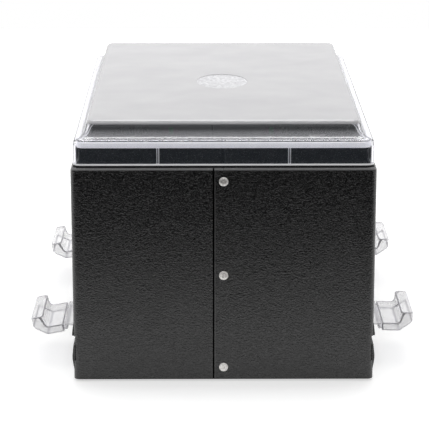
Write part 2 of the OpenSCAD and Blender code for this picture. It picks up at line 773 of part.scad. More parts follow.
rocker_in = 4.5;             // depth of the rocker's pivot behind the case
rocker_tilt = 6;
module power_rocker() {
    w = switch_w - 4.8;
    color("#c8102e") translate([switch_x, body_l / 2 - rocker_in, socket_z]) {
        rotate([rocker_tilt, 0, 0]) rotate([90, 0, 90]) linear_extrude(w, center = true)
            polygon([[-2.2, -6], [3.6, -10.2], [4.4, -9.4], [3.4, 0], [4.4, 9.4], [3.6, 10.2], [-2.2, 6]]);
        rotate([0, 90, 0]) cylinder(r = 1, h = switch_w - 0.4, center = true);
    }
}

module power_inlet() {
    color("#161616") translate([inlet_x, body_l / 2, socket_z]) difference() {
        union() {
            translate([-inlet_w / 2 - 2.5, 0, -inlet_h / 2 - 2.5]) cube([inlet_w + 5, panel_t, inlet_h + 5]);
            translate([-inlet_w / 2, -20, -inlet_h / 2]) cube([inlet_w, 20 + eps, inlet_h]);
        }
        translate([-inlet_w / 2 + 2, -16, -inlet_h / 2 + 2]) cube([inlet_w - 4, 30, inlet_h - 4]);
    }
    // three blade contacts
    color("#c7c9cc") for (c = [[-7, -2], [0, 2.5], [7, -2]])
        translate([inlet_x + c[0] - 1, body_l / 2 - 17, socket_z + c[1] - 2]) cube([2, 13, 4]);
}

board_y = body_l / 2 - 34;
board_w = panel_w - 30;
board_h = panel_h + 16;
board_t = 1.6;
module control_board() {
    back = board_y + board_t - eps;
    color("#1d6b41") translate([-board_w / 2, board_y, panel_z - board_h / 2]) cube([board_w, board_t, board_h]);
    color("#26282b") {
        for (k = [0:3]) translate([-board_w / 2 + 10 + k * 24, board_y - 9, panel_z - 29 + (k % 2) * 22])
            cube([16, 9 + eps, 14]);
        translate([board_w / 2 - 40, back, panel_z - 11]) cube([22, 8, 22]);
    }
    // spacers that carry the board on the control panel
    color("#c9b26a") for (x = [-1, 1], z = [-1, 1]) translate([x * (board_w / 2 - 5), back, panel_z + z * (panel_h / 2 - 8)])
        rotate([-90, 0, 0]) cylinder(r = 1.8, h = body_l / 2 - 2 - back);
}

supply_w = 64;
supply_l = 56;
supply_h = 32;
module power_supply() {
    slots = 6;
    slot_gap = (supply_w - 4) / slots;
    color("#a8abad") translate([11 - wall_in, part_y + 14, deck_z]) difference() {
        cube([supply_w, supply_l, supply_h]);
        for (k = [0:slots - 1]) translate([6 + k * slot_gap, 6, supply_h - 2]) cube([slot_gap / 2, supply_l - 12, 3]);
    }
}

sensor_w = 16;
sensor_h = 24;
module humidity_sensor() {
    color("#e8e8e6") translate([wall_in - 41, part_y - 7, ledge_z - 78]) difference() {
        cube([sensor_w, 7, sensor_h]);
        for (k = [0:3]) translate([3, -1, 4 + k * 4.6]) cube([sensor_w - 6, 3, 2]);
    }
}

module filament_outlets() {
    color("#2b2c2e") at_outlets() rotate_extrude() polygon([
        [outlet_r, -7], [outlet_hole_r + 1.6, -7], [outlet_hole_r + 1.6, -sheet_t], [outlet_hole_r, -sheet_t], [outlet_hole_r, 0],
        [outlet_hole_r + 2, 0], [outlet_hole_r + 2, 0.8], [outlet_hole_r + 1, 1.5], [outlet_r + 0.8, 1.5], [outlet_r, 0.7]]);
}

tray_w = 32;
tray_l = 150;
tray_h = 30;
tray_t = 1.6;
tray_x = -wall_in + tray_w / 2 + 7;
module desiccant_box() {
    color("#f0f0ee") translate([tray_x, 0, floor_z + sheet_t]) difference() {
        linear_extrude(tray_h) round_rect(tray_w, tray_l, 4);
        translate([0, 0, tray_t]) linear_extrude(tray_h) round_rect(tray_w - 2 * tray_t, tray_l - 2 * tray_t, 2.6);
        for (k = [-6:6]) translate([0, k * 10.5, 12]) rotate([0, 90, 0]) cylinder(r = 2.4, h = tray_w + 2, center = true);
    }
}

module desiccant_cover() {
    z = floor_z + sheet_t + tray_h;
    color("#dcdddb") translate([tray_x, 0, z]) difference() {
        union() {
            linear_extrude(2) round_rect(tray_w, tray_l, 4);
            translate([0, 0, -3]) linear_extrude(3 + eps)
                round_rect(tray_w - 2 * tray_t - 0.4, tray_l - 2 * tray_t - 0.4, 2.4);
        }
        for (k = [-9:9], x = [-8, 0, 8]) translate([x, k * 7.2, -4]) cylinder(r = 2, h = 8);
    }
}

body_left();
body_right();
seam_rivets();
base_pan();
base_screws();
rubber_feet();
chamber_floor();
partition();
bay_cover();
lid_gasket();
lid();
lid_seal();
hook_brackets();
hook_pins();
hook([-1, -1], left_droop);  // hook_left_near
hook([-1, 1], left_droop);  // hook_left_far
hook([1, -1], right_droop);  // hook_right_near
hook([1, 1], right_droop);  // hook_right_far
roller_shaft(-1);  // shaft_left
roller_shaft(1);  // shaft_right
shaft_cradles();
roller_spacers();
roller(-1, 1);  // roller_left_1
roller(-1, 2);  // roller_left_2
roller(-1, 3);  // roller_left_3
roller(-1, min(4, stations));  // roller_left_4
roller(1, 1);  // roller_right_1
roller(1, 2);  // roller_right_2
roller(1, 3);  // roller_right_3
roller(1, min(4, stations));  // roller_right_4
fan_frame();
fan_rotor();
heater_block();
heater_frame();
control_panel();
display_window();
display_module();
button(0);  // button_less
button(1);  // button_more
button(2);  // button_set
switch_housing();
power_rocker();
power_inlet();
control_board();
power_supply();
humidity_sensor();
filament_outlets();
desiccant_box();
desiccant_cover();
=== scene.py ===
import json
import math

import bmesh
import bpy
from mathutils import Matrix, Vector


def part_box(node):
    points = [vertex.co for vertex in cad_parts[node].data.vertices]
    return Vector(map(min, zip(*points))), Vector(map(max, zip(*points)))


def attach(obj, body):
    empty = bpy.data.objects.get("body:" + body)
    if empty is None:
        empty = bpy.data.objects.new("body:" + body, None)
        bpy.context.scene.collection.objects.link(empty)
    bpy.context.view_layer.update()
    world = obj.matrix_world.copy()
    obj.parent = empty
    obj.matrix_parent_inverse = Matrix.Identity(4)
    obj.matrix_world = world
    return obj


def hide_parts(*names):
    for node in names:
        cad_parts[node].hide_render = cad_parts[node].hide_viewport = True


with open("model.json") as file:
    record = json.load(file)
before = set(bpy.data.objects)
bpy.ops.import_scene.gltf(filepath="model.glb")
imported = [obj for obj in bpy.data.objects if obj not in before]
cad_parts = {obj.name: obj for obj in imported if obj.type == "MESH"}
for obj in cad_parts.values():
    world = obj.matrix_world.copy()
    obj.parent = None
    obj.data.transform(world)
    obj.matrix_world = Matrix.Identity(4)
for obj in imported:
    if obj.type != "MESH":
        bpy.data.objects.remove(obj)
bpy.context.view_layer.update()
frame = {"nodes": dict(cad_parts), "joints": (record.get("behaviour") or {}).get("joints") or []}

# ---- Studio ----
# A long lens looks at the riveted end of the box from a little above its lid.
# The box stands on a plain pale floor in front of a white cove, under soft lamps overhead.
# The side behind the lens is left dark, so the black sheet and the clear rim don't fog over.
CAMERA_PITCH = math.radians(15.10)
CAMERA_YAW = math.radians(0.29)
CAMERA_ROLL = math.radians(0.02)
CAMERA_DISTANCE = 1.890
CAMERA_AIM = Vector((-0.0062, 0.0, 0.0953))
FOCAL_PIXELS = 1976
FRAME_PIXELS = 430
SENSOR = 36.0
FLOOR_FRONT = -0.44
FLOOR_BACK = 1.6
FLOOR_HALF_WIDTH = 2.4
FLOOR_LIFT = (0.74, 0.5)      # brings the lit paper up to white, in front of the box and beside it
FLOOR_LIFT_AT = (-0.4, -0.1)  # where along Y the one lift turns into the other
FLOOR_LIFT_FAR = 0.3          # what is added away from the box, where the lamps reach less
FLOOR_FAR = (0.6, 1.2)        # distances from the box between which that comes in
COVE_LIGHT = 0.5              # how strongly the cove lights the box
COVE_SEEN = 0.88              # how bright it looks in reflections and through clear plastic
COVE_SLOPE = 1.6              # how much more a direction's rise counts than its depth, for the cove's edge
COVE_FADE = (-0.75, 0.1)      # sums of depth and counted rise between which the cove's light comes in
DARK_SIDE = 0.02              # the light from behind the lens
LAMP_AIM = (0, 0, 0.1)


def linear(hex_colour):
    """An sRGB hex colour as the linear colour that a shader takes."""
    channels = [int(hex_colour[i:i + 2], 16) / 255 for i in (1, 3, 5)]
    return (*[c / 12.92 if c <= 0.04045 else ((c + 0.055) / 1.055) ** 2.4 for c in channels], 1.0)


def add_node(tree, kind, settings=None, inputs=None, links=None):
    """Adds a node with its settings and input values, and links each input to a (node, output)."""
    node = tree.nodes.new(kind)
    for name, value in (settings or {}).items():
        setattr(node, name, value)
    for name, value in (inputs or {}).items():
        node.inputs[name].default_value = value
    for name, (source, output) in (links or {}).items():
        tree.links.new(source.outputs[output], node.inputs[name])
    return node


# A colour mix node's two colour sockets and its colour output, by number
MIX_A, MIX_B, MIX_OUT = 6, 7, 2


def new_finish(name, colour, roughness, metallic=0.0):
    """Starts a finish: its material, its node tree and its one main shader."""
    material = bpy.data.materials.new(name)
    material.use_nodes = True
    tree = material.node_tree
    shader = tree.nodes["Principled BSDF"]
    shader.inputs["Base Color"].default_value = linear(colour)
    shader.inputs["Roughness"].default_value = roughness
    shader.inputs["Metallic"].default_value = metallic
    return material, tree, shader


def deselect_all():
    """Deselects everything, because an operator acts on all that is selected."""
    bpy.ops.object.select_all(action="DESELECT")


deselect_all()
camera_data = bpy.data.cameras.new("camera")
camera = bpy.data.objects.new("camera", camera_data)
bpy.context.collection.objects.link(camera)
camera_data.sensor_width = SENSOR
camera_data.lens = SENSOR * FOCAL_PIXELS / FRAME_PIXELS
camera_data.clip_end = 50
look = Vector((math.sin(CAMERA_YAW) * math.cos(CAMERA_PITCH),
               math.cos(CAMERA_YAW) * math.cos(CAMERA_PITCH),
               -math.sin(CAMERA_PITCH)))
camera.location = CAMERA_AIM - look * CAMERA_DISTANCE
camera.rotation_euler = (math.pi / 2 - CAMERA_PITCH, CAMERA_ROLL, -CAMERA_YAW)
bpy.context.scene.camera = camera
bpy.context.scene.view_settings.view_transform = "Standard"

world = bpy.data.worlds.new("surround")
bpy.context.scene.world = world
world.use_nodes = True
tree = world.node_tree
tree.nodes.clear()
ray = add_node(tree, "ShaderNodeLightPath")
seen = add_node(tree, "ShaderNodeMath", {"operation": "MAXIMUM"},
                links={0: (ray, "Is Glossy Ray"), 1: (ray, "Is Transmission Ray")})
direction = add_node(tree, "ShaderNodeTexCoord")
parts = add_node(tree, "ShaderNodeSeparateXYZ", links={"Vector": (direction, "Generated")})
behind_lens = add_node(tree, "ShaderNodeMath", {"operation": "MULTIPLY_ADD"}, {1: COVE_SLOPE},
                       {0: (parts, "Z"), 2: (parts, "Y")})
cove = add_node(tree, "ShaderNodeMapRange", {"interpolation_type": "SMOOTHSTEP"},
                {"From Min": COVE_FADE[0], "From Max": COVE_FADE[1], "To Min": DARK_SIDE},
                {"Value": (behind_lens, 0)})
strength = add_node(tree, "ShaderNodeMapRange", inputs={"To Min": COVE_LIGHT, "To Max": COVE_SEEN},
                    links={"Value": (seen, 0)})
light = add_node(tree, "ShaderNodeMath", {"operation": "MULTIPLY"},
                 links={0: (cove, "Result"), 1: (strength, "Result")})
shown = add_node(tree, "ShaderNodeMath", {"operation": "MAXIMUM"},
                 links={0: (light, 0), 1: (ray, "Is Camera Ray")})
white = add_node(tree, "ShaderNodeBackground", inputs={"Color": (1, 1, 1, 1)},
                 links={"Strength": (shown, 0)})
add_node(tree, "ShaderNodeOutputWorld", links={"Surface": (white, "Background")})

# Floor: pale matt paper that is lifted to white for the eye and keeps the shadow under the box.
bpy.ops.mesh.primitive_plane_add(size=1, location=(0, (FLOOR_FRONT + FLOOR_BACK) / 2, 0))
floor = bpy.context.object
floor.name = "floor"
floor.scale = (2 * FLOOR_HALF_WIDTH, FLOOR_BACK - FLOOR_FRONT, 1)
bpy.ops.object.transform_apply(location=True, rotation=True, scale=True)
paper, tree, shader = new_finish("matt_paper", "#D6D6D6", roughness=0.9)
shader.inputs["Specular IOR Level"].default_value = 0.0
shader.inputs["Emission Color"].default_value = (1, 1, 1, 1)
ray = add_node(tree, "ShaderNodeLightPath")
place = add_node(tree, "ShaderNodeTexCoord")
parts = add_node(tree, "ShaderNodeSeparateXYZ", links={"Vector": (place, "Object")})
fade = add_node(tree, "ShaderNodeMapRange",
                inputs={"From Min": FLOOR_LIFT_AT[0], "From Max": FLOOR_LIFT_AT[1],
                        "To Min": FLOOR_LIFT[0], "To Max": FLOOR_LIFT[1]},
                links={"Value": (parts, "Y")})
distance = add_node(tree, "ShaderNodeVectorMath", {"operation": "LENGTH"}, links={0: (place, "Object")})
far = add_node(tree, "ShaderNodeMapRange",
               inputs={"From Min": FLOOR_FAR[0], "From Max": FLOOR_FAR[1], "To Max": FLOOR_LIFT_FAR},
               links={"Value": (distance, "Value")})
lifts = add_node(tree, "ShaderNodeMath", links={0: (fade, "Result"), 1: (far, "Result")})
seen = add_node(tree, "ShaderNodeMath", {"operation": "MAXIMUM"},
                links={0: (ray, "Is Camera Ray"), 1: (ray, "Is Glossy Ray")})
lift = add_node(tree, "ShaderNodeMath", {"operation": "MULTIPLY"}, links={0: (seen, 0), 1: (lifts, 0)})
tree.links.new(lift.outputs[0], shader.inputs["Emission Strength"])
floor.data.materials.append(paper)


def add_lamp(name, place, size, power):
    """A soft square lamp that shines on the box, with its side in metres and its power in watts."""
    lamp = bpy.data.lights.new(name, "AREA")
    lamp.shape = "SQUARE"
    lamp.size = size
    lamp.energy = power
    holder = bpy.data.objects.new(name, lamp)
    bpy.context.collection.objects.link(holder)
    holder.location = place
    holder.rotation_euler = (Vector(LAMP_AIM) - Vector(place)).to_track_quat("-Z", "Y").to_euler()


add_lamp("overhead_lamp", place=(0, 0.42, 1.65), size=1.1, power=22)
add_lamp("left_lamp", place=(-1.9, 0.3, 0.8), size=0.9, power=4)
add_lamp("right_lamp", place=(1.9, 0.3, 0.8), size=0.9, power=2.5)

# ---- Folded sheet case ----
# Two half shells of 1 mm steel sheet, folded, lapped and riveted, with a pan screwed on from below.
# All of it is sprayed with black powder coat, which bakes to a leathery grain with a soft gloss.
MM = 0.001                       # the sizes of the box's own pieces are in millimetres
GRAIN = 1.0 * MM                 # width of one grain of the coat
GRAIN_DEPTH = 0.46 * MM          # drawn deep, so that the grain shows from where the lens stands
GRAIN_SHAPE = (0.95, 0.95, 1.6)  # grains are lower than they are wide
COAT_GLOSS = 0.7                 # specular level: a resin-rich coat mirrors a little more than plain plastic
GRAIN_TOP_HIGHLIGHT = "#2A2A2B"            # painted highlight on the tops of the grains
PAINTED_HIGHLIGHT = "#A5A5A6"                 # tone of the painted highlights along the top bend and beside the lap's edge
LEDGE = 190.5
TOP_BEND = 189.6                 # height of the bend at the top of the walls, where a highlight is painted
BEND_HIGHLIGHT_SPAN = (1.3, 0.4)              # how far from the bend the painted highlight begins and is full
BEND_HIGHLIGHT_SHARE = 0.6
LAP_EDGE = -8.6                  # X of the edge of the right half, which laps over the left one
NECK_SEAM = 0.0                  # above the ledge the two halves meet in the middle
GAP_SHADOW_HALF = 0.7                   # half the width of the painted shadow in the gap along that edge
EDGE_HIGHLIGHT_AT = 1.2                   # how far past the edge the middle of the painted highlight on it lies
EDGE_HIGHLIGHT_HALF = 0.5
EDGE_HIGHLIGHT_SHARE = 0.12


def dress(material, *names):
    """Gives CAD nodes their finish."""
    for name in names:
        for held in frame["nodes"][name].material_slots:
            held.material = material


def vary_colour(tree, shader, pattern, dark, light, low=0.3, high=0.7):
    """Carries the colour from dark to light as a pattern, given as (node, output), goes from low to high."""
    share = add_node(tree, "ShaderNodeMapRange", inputs={"From Min": low, "From Max": high},
                     links={"Value": pattern})
    tones = add_node(tree, "ShaderNodeMix", {"data_type": "RGBA"},
                     {MIX_A: linear(dark), MIX_B: linear(light)}, {0: (share, "Result")})
    tree.links.new(tones.outputs[MIX_OUT], shader.inputs["Base Color"])
    return tones


def mark_folds(tree, shader, place, tones):
    """Paints a highlight along the top bend, a shadow in the gap of the lap, and a highlight on the edge
    beside it.
    """
    parts = add_node(tree, "ShaderNodeSeparateXYZ", links={"Vector": (place, "Object")})
    off_bend = add_node(tree, "ShaderNodeMath", {"operation": "SUBTRACT"}, {1: TOP_BEND * MM},
                        {0: (parts, "Z")})
    off_bend = add_node(tree, "ShaderNodeMath", {"operation": "ABSOLUTE"}, links={0: (off_bend, 0)})
    # A painted highlight along the top bend.
    bend_highlight = add_node(tree, "ShaderNodeMapRange",
                      inputs={"From Min": BEND_HIGHLIGHT_SPAN[0] * MM, "From Max": BEND_HIGHLIGHT_SPAN[1] * MM, "To Max": BEND_HIGHLIGHT_SHARE},
                      links={"Value": (off_bend, 0)})
    coat = add_node(tree, "ShaderNodeMix", {"data_type": "RGBA"}, {MIX_B: linear(PAINTED_HIGHLIGHT)},
                    {0: (bend_highlight, "Result"), MIX_A: (tones, MIX_OUT)})
    on_neck = add_node(tree, "ShaderNodeMath", {"operation": "GREATER_THAN"}, {1: LEDGE * MM},
                       {0: (parts, "Z")})
    seam = add_node(tree, "ShaderNodeMapRange", inputs={"To Min": LAP_EDGE * MM, "To Max": NECK_SEAM * MM},
                    links={"Value": (on_neck, 0)})
    off_lap = add_node(tree, "ShaderNodeMath", {"operation": "SUBTRACT"},
                       links={0: (parts, "X"), 1: (seam, "Result")})
    # A painted highlight on the rounded edge of the outer half, beside the gap.
    edge_highlight = add_node(tree, "ShaderNodeMath", {"operation": "COMPARE"},
                     {1: EDGE_HIGHLIGHT_AT * MM, 2: EDGE_HIGHLIGHT_HALF * MM}, {0: (off_lap, 0)})
    edge_highlight = add_node(tree, "ShaderNodeMath", {"operation": "MULTIPLY"}, {1: EDGE_HIGHLIGHT_SHARE}, {0: (edge_highlight, 0)})
    edged = add_node(tree, "ShaderNodeMix", {"data_type": "RGBA"}, {MIX_B: linear(PAINTED_HIGHLIGHT)},
                     {0: (edge_highlight, 0), MIX_A: (coat, MIX_OUT)})
    # A painted shadow in the gap beside the lap's edge.
    gap_shadow = add_node(tree, "ShaderNodeMath", {"operation": "COMPARE"}, {1: 0.0, 2: GAP_SHADOW_HALF * MM},
                   {0: (off_lap, 0)})
    lapped = add_node(tree, "ShaderNodeMix", {"data_type": "RGBA"}, {MIX_B: linear("#000000")},
                      {0: (gap_shadow, 0), MIX_A: (edged, MIX_OUT)})
    tree.links.new(lapped.outputs[MIX_OUT], shader.inputs["Base Color"])
    # A black metal mirrors nothing, so the painted shadow in the gap stays dark from every side.
    tree.links.new(gap_shadow.outputs[0], shader.inputs["Metallic"])


def grained_powder_coat(name, colour, roughness, depth):
    """Powder coat with a leathery grain, glossier on the tops of the grains, which a painted highlight also
    lightens.
    """
    material, tree, shader = new_finish(name, colour, roughness)
    shader.inputs["Specular IOR Level"].default_value = COAT_GLOSS
    place = add_node(tree, "ShaderNodeTexCoord")
    wander = add_node(tree, "ShaderNodeTexNoise", inputs={"Scale": 1 / (3 * GRAIN), "Detail": 2.0},
                      links={"Vector": (place, "Object")})
    bend = add_node(tree, "ShaderNodeVectorMath", {"operation": "SCALE"}, {"Scale": 0.9 * GRAIN},
                    {0: (wander, "Color")})
    moved = add_node(tree, "ShaderNodeVectorMath", {"operation": "ADD"},
                     links={0: (place, "Object"), 1: (bend, "Vector")})
    flattened = add_node(tree, "ShaderNodeMapping", inputs={"Scale": GRAIN_SHAPE},
                         links={"Vector": (moved, "Vector")})
    grains = add_node(tree, "ShaderNodeTexNoise",
                      inputs={"Scale": 1 / (1.5 * GRAIN), "Detail": 1.5, "Roughness": 0.5},
                      links={"Vector": (flattened, "Vector")})
    bump = add_node(tree, "ShaderNodeBump", inputs={"Distance": depth}, links={"Height": (grains, "Fac")})
    tree.links.new(bump.outputs["Normal"], shader.inputs["Normal"])
    sheen = add_node(tree, "ShaderNodeMapRange",
                     inputs={"From Min": 0.3, "From Max": 0.7,
                             "To Min": roughness + 0.1, "To Max": roughness - 0.1},
                     links={"Value": (grains, "Fac")})
    tree.links.new(sheen.outputs["Result"], shader.inputs["Roughness"])
    # The tops of the grains are lightened: a painted highlight.
    tones = vary_colour(tree, shader, (grains, "Fac"), colour, GRAIN_TOP_HIGHLIGHT, low=0.4, high=0.65)
    mark_folds(tree, shader, place, tones)
    return material


black_powder_coat = grained_powder_coat("black_grained_powder_coat", "#000000", roughness=0.21,
                                        depth=GRAIN_DEPTH)
dress(black_powder_coat, "body_left", "body_right")

# ---- Seam rivets ----
# Three aluminium blind rivets hold the lap at each end of the case.
# Each has a low dome outside with its broken mandrel in the middle, and a squeezed tail inside.
# Its steps are (radius, height), from the tail up through the shank and the dome into the hollow.
RIVET_STEPS = [(1.9, -4.6), (3.0, -4.0), (3.1, -2.6), (2.0, -2.0), (2.0, 0.0), (4.0, 0.0), (4.0, 0.25),
               (3.75, 0.65), (3.1, 1.0), (2.2, 1.2), (1.45, 1.2), (1.35, 0.5), (0.9, 0.5), (0.6, 0.75)]
RIVET_HEIGHTS = (13, 96, 179)
END_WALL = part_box("body_left")[1].y / MM
DENT = 1.2            # width of a dent from the tumbling barrel


def start_piece(name, add, **settings):
    """Adds a primitive as a new piece and settles it, so that its mesh is in the box's own frame."""
    deselect_all()
    add(**settings)
    piece = bpy.context.object
    piece.name = piece.data.name = name
    bpy.ops.object.transform_apply(location=True, rotation=True, scale=True)
    return piece


def pick(piece):
    """Selects one piece alone and makes it the active one."""
    deselect_all()
    piece.select_set(True)
    bpy.context.view_layer.objects.active = piece


def edit(piece):
    """Opens a piece for shaping."""
    pick(piece)
    bpy.ops.object.mode_set(mode="EDIT")


def choose(piece, kind, test):
    """Selects the faces whose middle and normal pass the test, or the edges whose two ends do."""
    bpy.ops.mesh.select_mode(type=kind)
    bpy.ops.mesh.select_all(action="DESELECT")
    mesh = bmesh.from_edit_mesh(piece.data)
    if kind == "FACE":
        for face in mesh.faces:
            face.select_set(bool(test(face.calc_center_median(), face.normal)))
    else:
        for edge in mesh.edges:
            edge.select_set(bool(test(edge.verts[0].co, edge.verts[1].co)))
    bmesh.update_edit_mesh(piece.data)


def extrude(x=0.0, z=0.0):
    """Extrudes what is selected, by a distance in metres."""
    bpy.ops.mesh.extrude_region_move(TRANSFORM_OT_translate={"value": (x, 0, z)})


def turned_piece(name, steps, sides=32):
    """A turned shape along Z, raised from a disc through steps of (radius, height) in mm."""
    radius, height = steps[0]
    piece = start_piece(name, bpy.ops.mesh.primitive_circle_add, vertices=sides, fill_type="NGON",
                        radius=radius * MM, location=(0, 0, height * MM))
    edit(piece)
    bpy.ops.mesh.select_all(action="SELECT")
    for next_radius, next_height in steps[1:]:
        extrude(z=(next_height - height) * MM)
        bpy.ops.transform.resize(value=(next_radius / radius, next_radius / radius, 1),
                                 center_override=(0, 0, next_height * MM))
        radius, height = next_radius, next_height
    bpy.ops.mesh.select_all(action="SELECT")
    bpy.ops.mesh.normals_make_consistent(inside=False)
    bpy.ops.object.mode_set(mode="OBJECT")
    return piece


def copy_of(piece, name, offset, turn):
    """A copy with its own mesh, turned about the origin, in degrees, and then moved, in mm."""
    pick(piece)
    bpy.ops.object.duplicate(linked=False)
    copy = bpy.context.object
    copy.name = copy.data.name = name
    copy.rotation_euler = [math.radians(a) for a in turn]
    copy.location = Vector(offset) * MM
    bpy.ops.object.transform_apply(location=True, rotation=True, scale=True)
    return copy


def join_pieces(name, pieces):
    """Makes one piece of several."""
    deselect_all()
    for piece in pieces:
        piece.select_set(True)
    bpy.context.view_layer.objects.active = pieces[0]
    bpy.ops.object.join()
    joined = bpy.context.object
    joined.name = joined.data.name = name
    return joined


def apply_modifier(piece, kind, **settings):
    """Adds one modifier with its settings and applies it."""
    pick(piece)
    bpy.ops.object.modifier_add(type=kind)
    modifier = piece.modifiers[-1]
    for setting, value in settings.items():
        setattr(modifier, setting, value)
    bpy.ops.object.modifier_apply(modifier=modifier.name)


def fit_piece(piece, materials, body, node, smooth=35):
    """Smooths a piece, gives it its finishes and its body, and puts it in the place of a CAD node."""
    pick(piece)
    bpy.ops.object.shade_smooth_by_angle(angle=math.radians(smooth))
    for material in materials:
        piece.data.materials.append(material)
    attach(piece, body)
    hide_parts(node)


# Tumbled aluminium: bright but soft, with shallow dents that leave it a little uneven.
tumbled_aluminium, tree, shader = new_finish("tumbled_aluminium", "#D2D0CD", roughness=0.46, metallic=1.0)
place = add_node(tree, "ShaderNodeTexCoord")
dents = add_node(tree, "ShaderNodeTexNoise", inputs={"Scale": 1 / (DENT * MM), "Detail": 3.0},
                 links={"Vector": (place, "Object")})
bump = add_node(tree, "ShaderNodeBump", inputs={"Distance": 0.1 * DENT * MM},
                links={"Height": (dents, "Fac")})
tree.links.new(bump.outputs["Normal"], shader.inputs["Normal"])
vary_colour(tree, shader, (dents, "Fac"), "#CECBC8", "#FBF9F6", low=0.35, high=0.6)

rivet = turned_piece("rivet", RIVET_STEPS)
rivets = [copy_of(rivet, "rivet_copy", offset=(0, end * END_WALL, height), turn=(-90 * end, 0, 0))
          for end in (-1, 1) for height in RIVET_HEIGHTS]
bpy.data.objects.remove(rivet)
fit_piece(join_pieces("blind_rivets", rivets), [tumbled_aluminium], "case",
          "seam_rivets")

# ---- Base ----
# A folded pan closes the case from below, held by six pan-head screws through the flange.
# Four black rubber feet are pressed into it.
DRAW_LINE = 0.4       # pitch of the lines that the drawing die leaves
BLOOM = 6             # width of the dusty clouds on rubber

dress(black_powder_coat, "base_pan")

# Bright drawn steel: smooth and glossy, with fine lines along the bar.
drawn_steel, tree, shader = new_finish("drawn_steel", "#BFC0C2", roughness=0.22, metallic=1.0)
place = add_node(tree, "ShaderNodeTexCoord")
along = add_node(tree, "ShaderNodeMapping", inputs={"Scale": (1.0, 0.02, 1.0)},
                 links={"Vector": (place, "Object")})
draw_lines = add_node(tree, "ShaderNodeTexNoise", inputs={"Scale": 1 / (DRAW_LINE * MM), "Detail": 2.0},
                      links={"Vector": (along, "Vector")})
bump = add_node(tree, "ShaderNodeBump", inputs={"Strength": 0.4, "Distance": 0.02 * MM},
                links={"Height": (draw_lines, "Fac")})
tree.links.new(bump.outputs["Normal"], shader.inputs["Normal"])
vary_colour(tree, shader, (draw_lines, "Fac"), "#A9AAAD", "#CDCED0")
dress(drawn_steel, "base_screws")

# Moulded rubber: matt, nearly black, with a faint dusty bloom.
moulded_rubber, tree, shader = new_finish("moulded_rubber", "#1A1A1B", roughness=0.75)
place = add_node(tree, "ShaderNodeTexCoord")
bloom = add_node(tree, "ShaderNodeTexNoise", inputs={"Scale": 1 / (BLOOM * MM), "Detail": 5.0},
                 links={"Vector": (place, "Object")})
vary_colour(tree, shader, (bloom, "Fac"), "#161617", "#2A2A2C", low=0.35, high=0.75)
bump = add_node(tree, "ShaderNodeBump", inputs={"Strength": 0.3, "Distance": 0.1 * MM},
                links={"Height": (bloom, "Fac")})
tree.links.new(bump.outputs["Normal"], shader.inputs["Normal"])
dress(moulded_rubber, "rubber_feet")

# ---- Chamber ----
# The spool chamber's floor and the partition in front of the heater are black coated sheet, too.
# The bay's cover is smoother: a thin grey-black paint that shows faint orange peel.
ORANGE_PEEL = 3       # width of one dimple

# The inner coat is duller, and its grain is shallower.
inner_powder_coat = grained_powder_coat("inner_powder_coat", "#161617", roughness=0.5,
                                        depth=0.6 * GRAIN_DEPTH)
dress(inner_powder_coat, "chamber_floor", "partition")

# Sprayed paint: thin and even, a soft sheen over wide shallow dimples.
smooth_paint, tree, shader = new_finish("smooth_grey_paint", "#2B2C2E", roughness=0.38)
place = add_node(tree, "ShaderNodeTexCoord")
peel = add_node(tree, "ShaderNodeTexNoise", inputs={"Scale": 1 / (ORANGE_PEEL * MM), "Detail": 1.0},
                links={"Vector": (place, "Object")})
bump = add_node(tree, "ShaderNodeBump", inputs={"Strength": 0.5, "Distance": 0.05 * MM},
                links={"Height": (peel, "Fac")})
tree.links.new(bump.outputs["Normal"], shader.inputs["Normal"])
vary_colour(tree, shader, (peel, "Fac"), "#27282A", "#303133")
dress(smooth_paint, "bay_cover")

# ---- Spool stations ----
# Two drawn steel shafts in plastic cradles carry eight rollers that the spools rest and turn on.
# Cradles and rollers are black acetal with a spark-eroded skin; the spacers are natural acetal.
def moulded_plastic(name, dark, light, roughness, spark):
    """Moulded plastic with the pits of a spark-eroded mould, each spark mm across."""
    material, tree, shader = new_finish(name, dark, roughness)
    place = add_node(tree, "ShaderNodeTexCoord")
    pits = add_node(tree, "ShaderNodeTexNoise",
                    inputs={"Scale": 1 / (spark * MM), "Detail": 4.0, "Roughness": 0.6},
                    links={"Vector": (place, "Object")})
    bump = add_node(tree, "ShaderNodeBump", inputs={"Strength": 0.6, "Distance": 0.06 * spark * MM},
                    links={"Height": (pits, "Fac")})
    tree.links.new(bump.outputs["Normal"], shader.inputs["Normal"])
    vary_colour(tree, shader, (pits, "Fac"), dark, light)
    return material


# Acetal: black with a dull waxy sheen, or in its natural warm white and a little glossier.
black_acetal = moulded_plastic("black_moulded_acetal", "#18181A", "#242426", roughness=0.5, spark=0.8)
natural_acetal = moulded_plastic("natural_acetal", "#E4E4DF", "#EEEEEA", roughness=0.42, spark=1.2)
rollers = [f"roller_{side}_{k}" for side in ("left", "right") for k in (1, 2, 3, 4)]
dress(black_acetal, "shaft_cradles", *rollers)
dress(natural_acetal, "roller_spacers")
dress(drawn_steel, "shaft_left", "shaft_right")

# ---- Desiccant box ----
# A moulded tray of natural acetal stands on the chamber's floor, under a cover that lifts off.
# It holds the grains that take up the damp, and the air reaches them through its small holes.
dress(natural_acetal, "desiccant_box", "desiccant_cover")

# ---- Heater bay ----
# A fan blows through a finned ceramic heater, beside a metal-cased power supply and a control board.
# Zinc-plated cases show faint spangle; the fins are bright folded aluminium; the board is green.
SPANGLE = 7           # width of one zinc crystal
ROLL_LINE = 0.6       # pitch of the lines that rolling leaves
TRACK_PITCH = 4       # between copper tracks

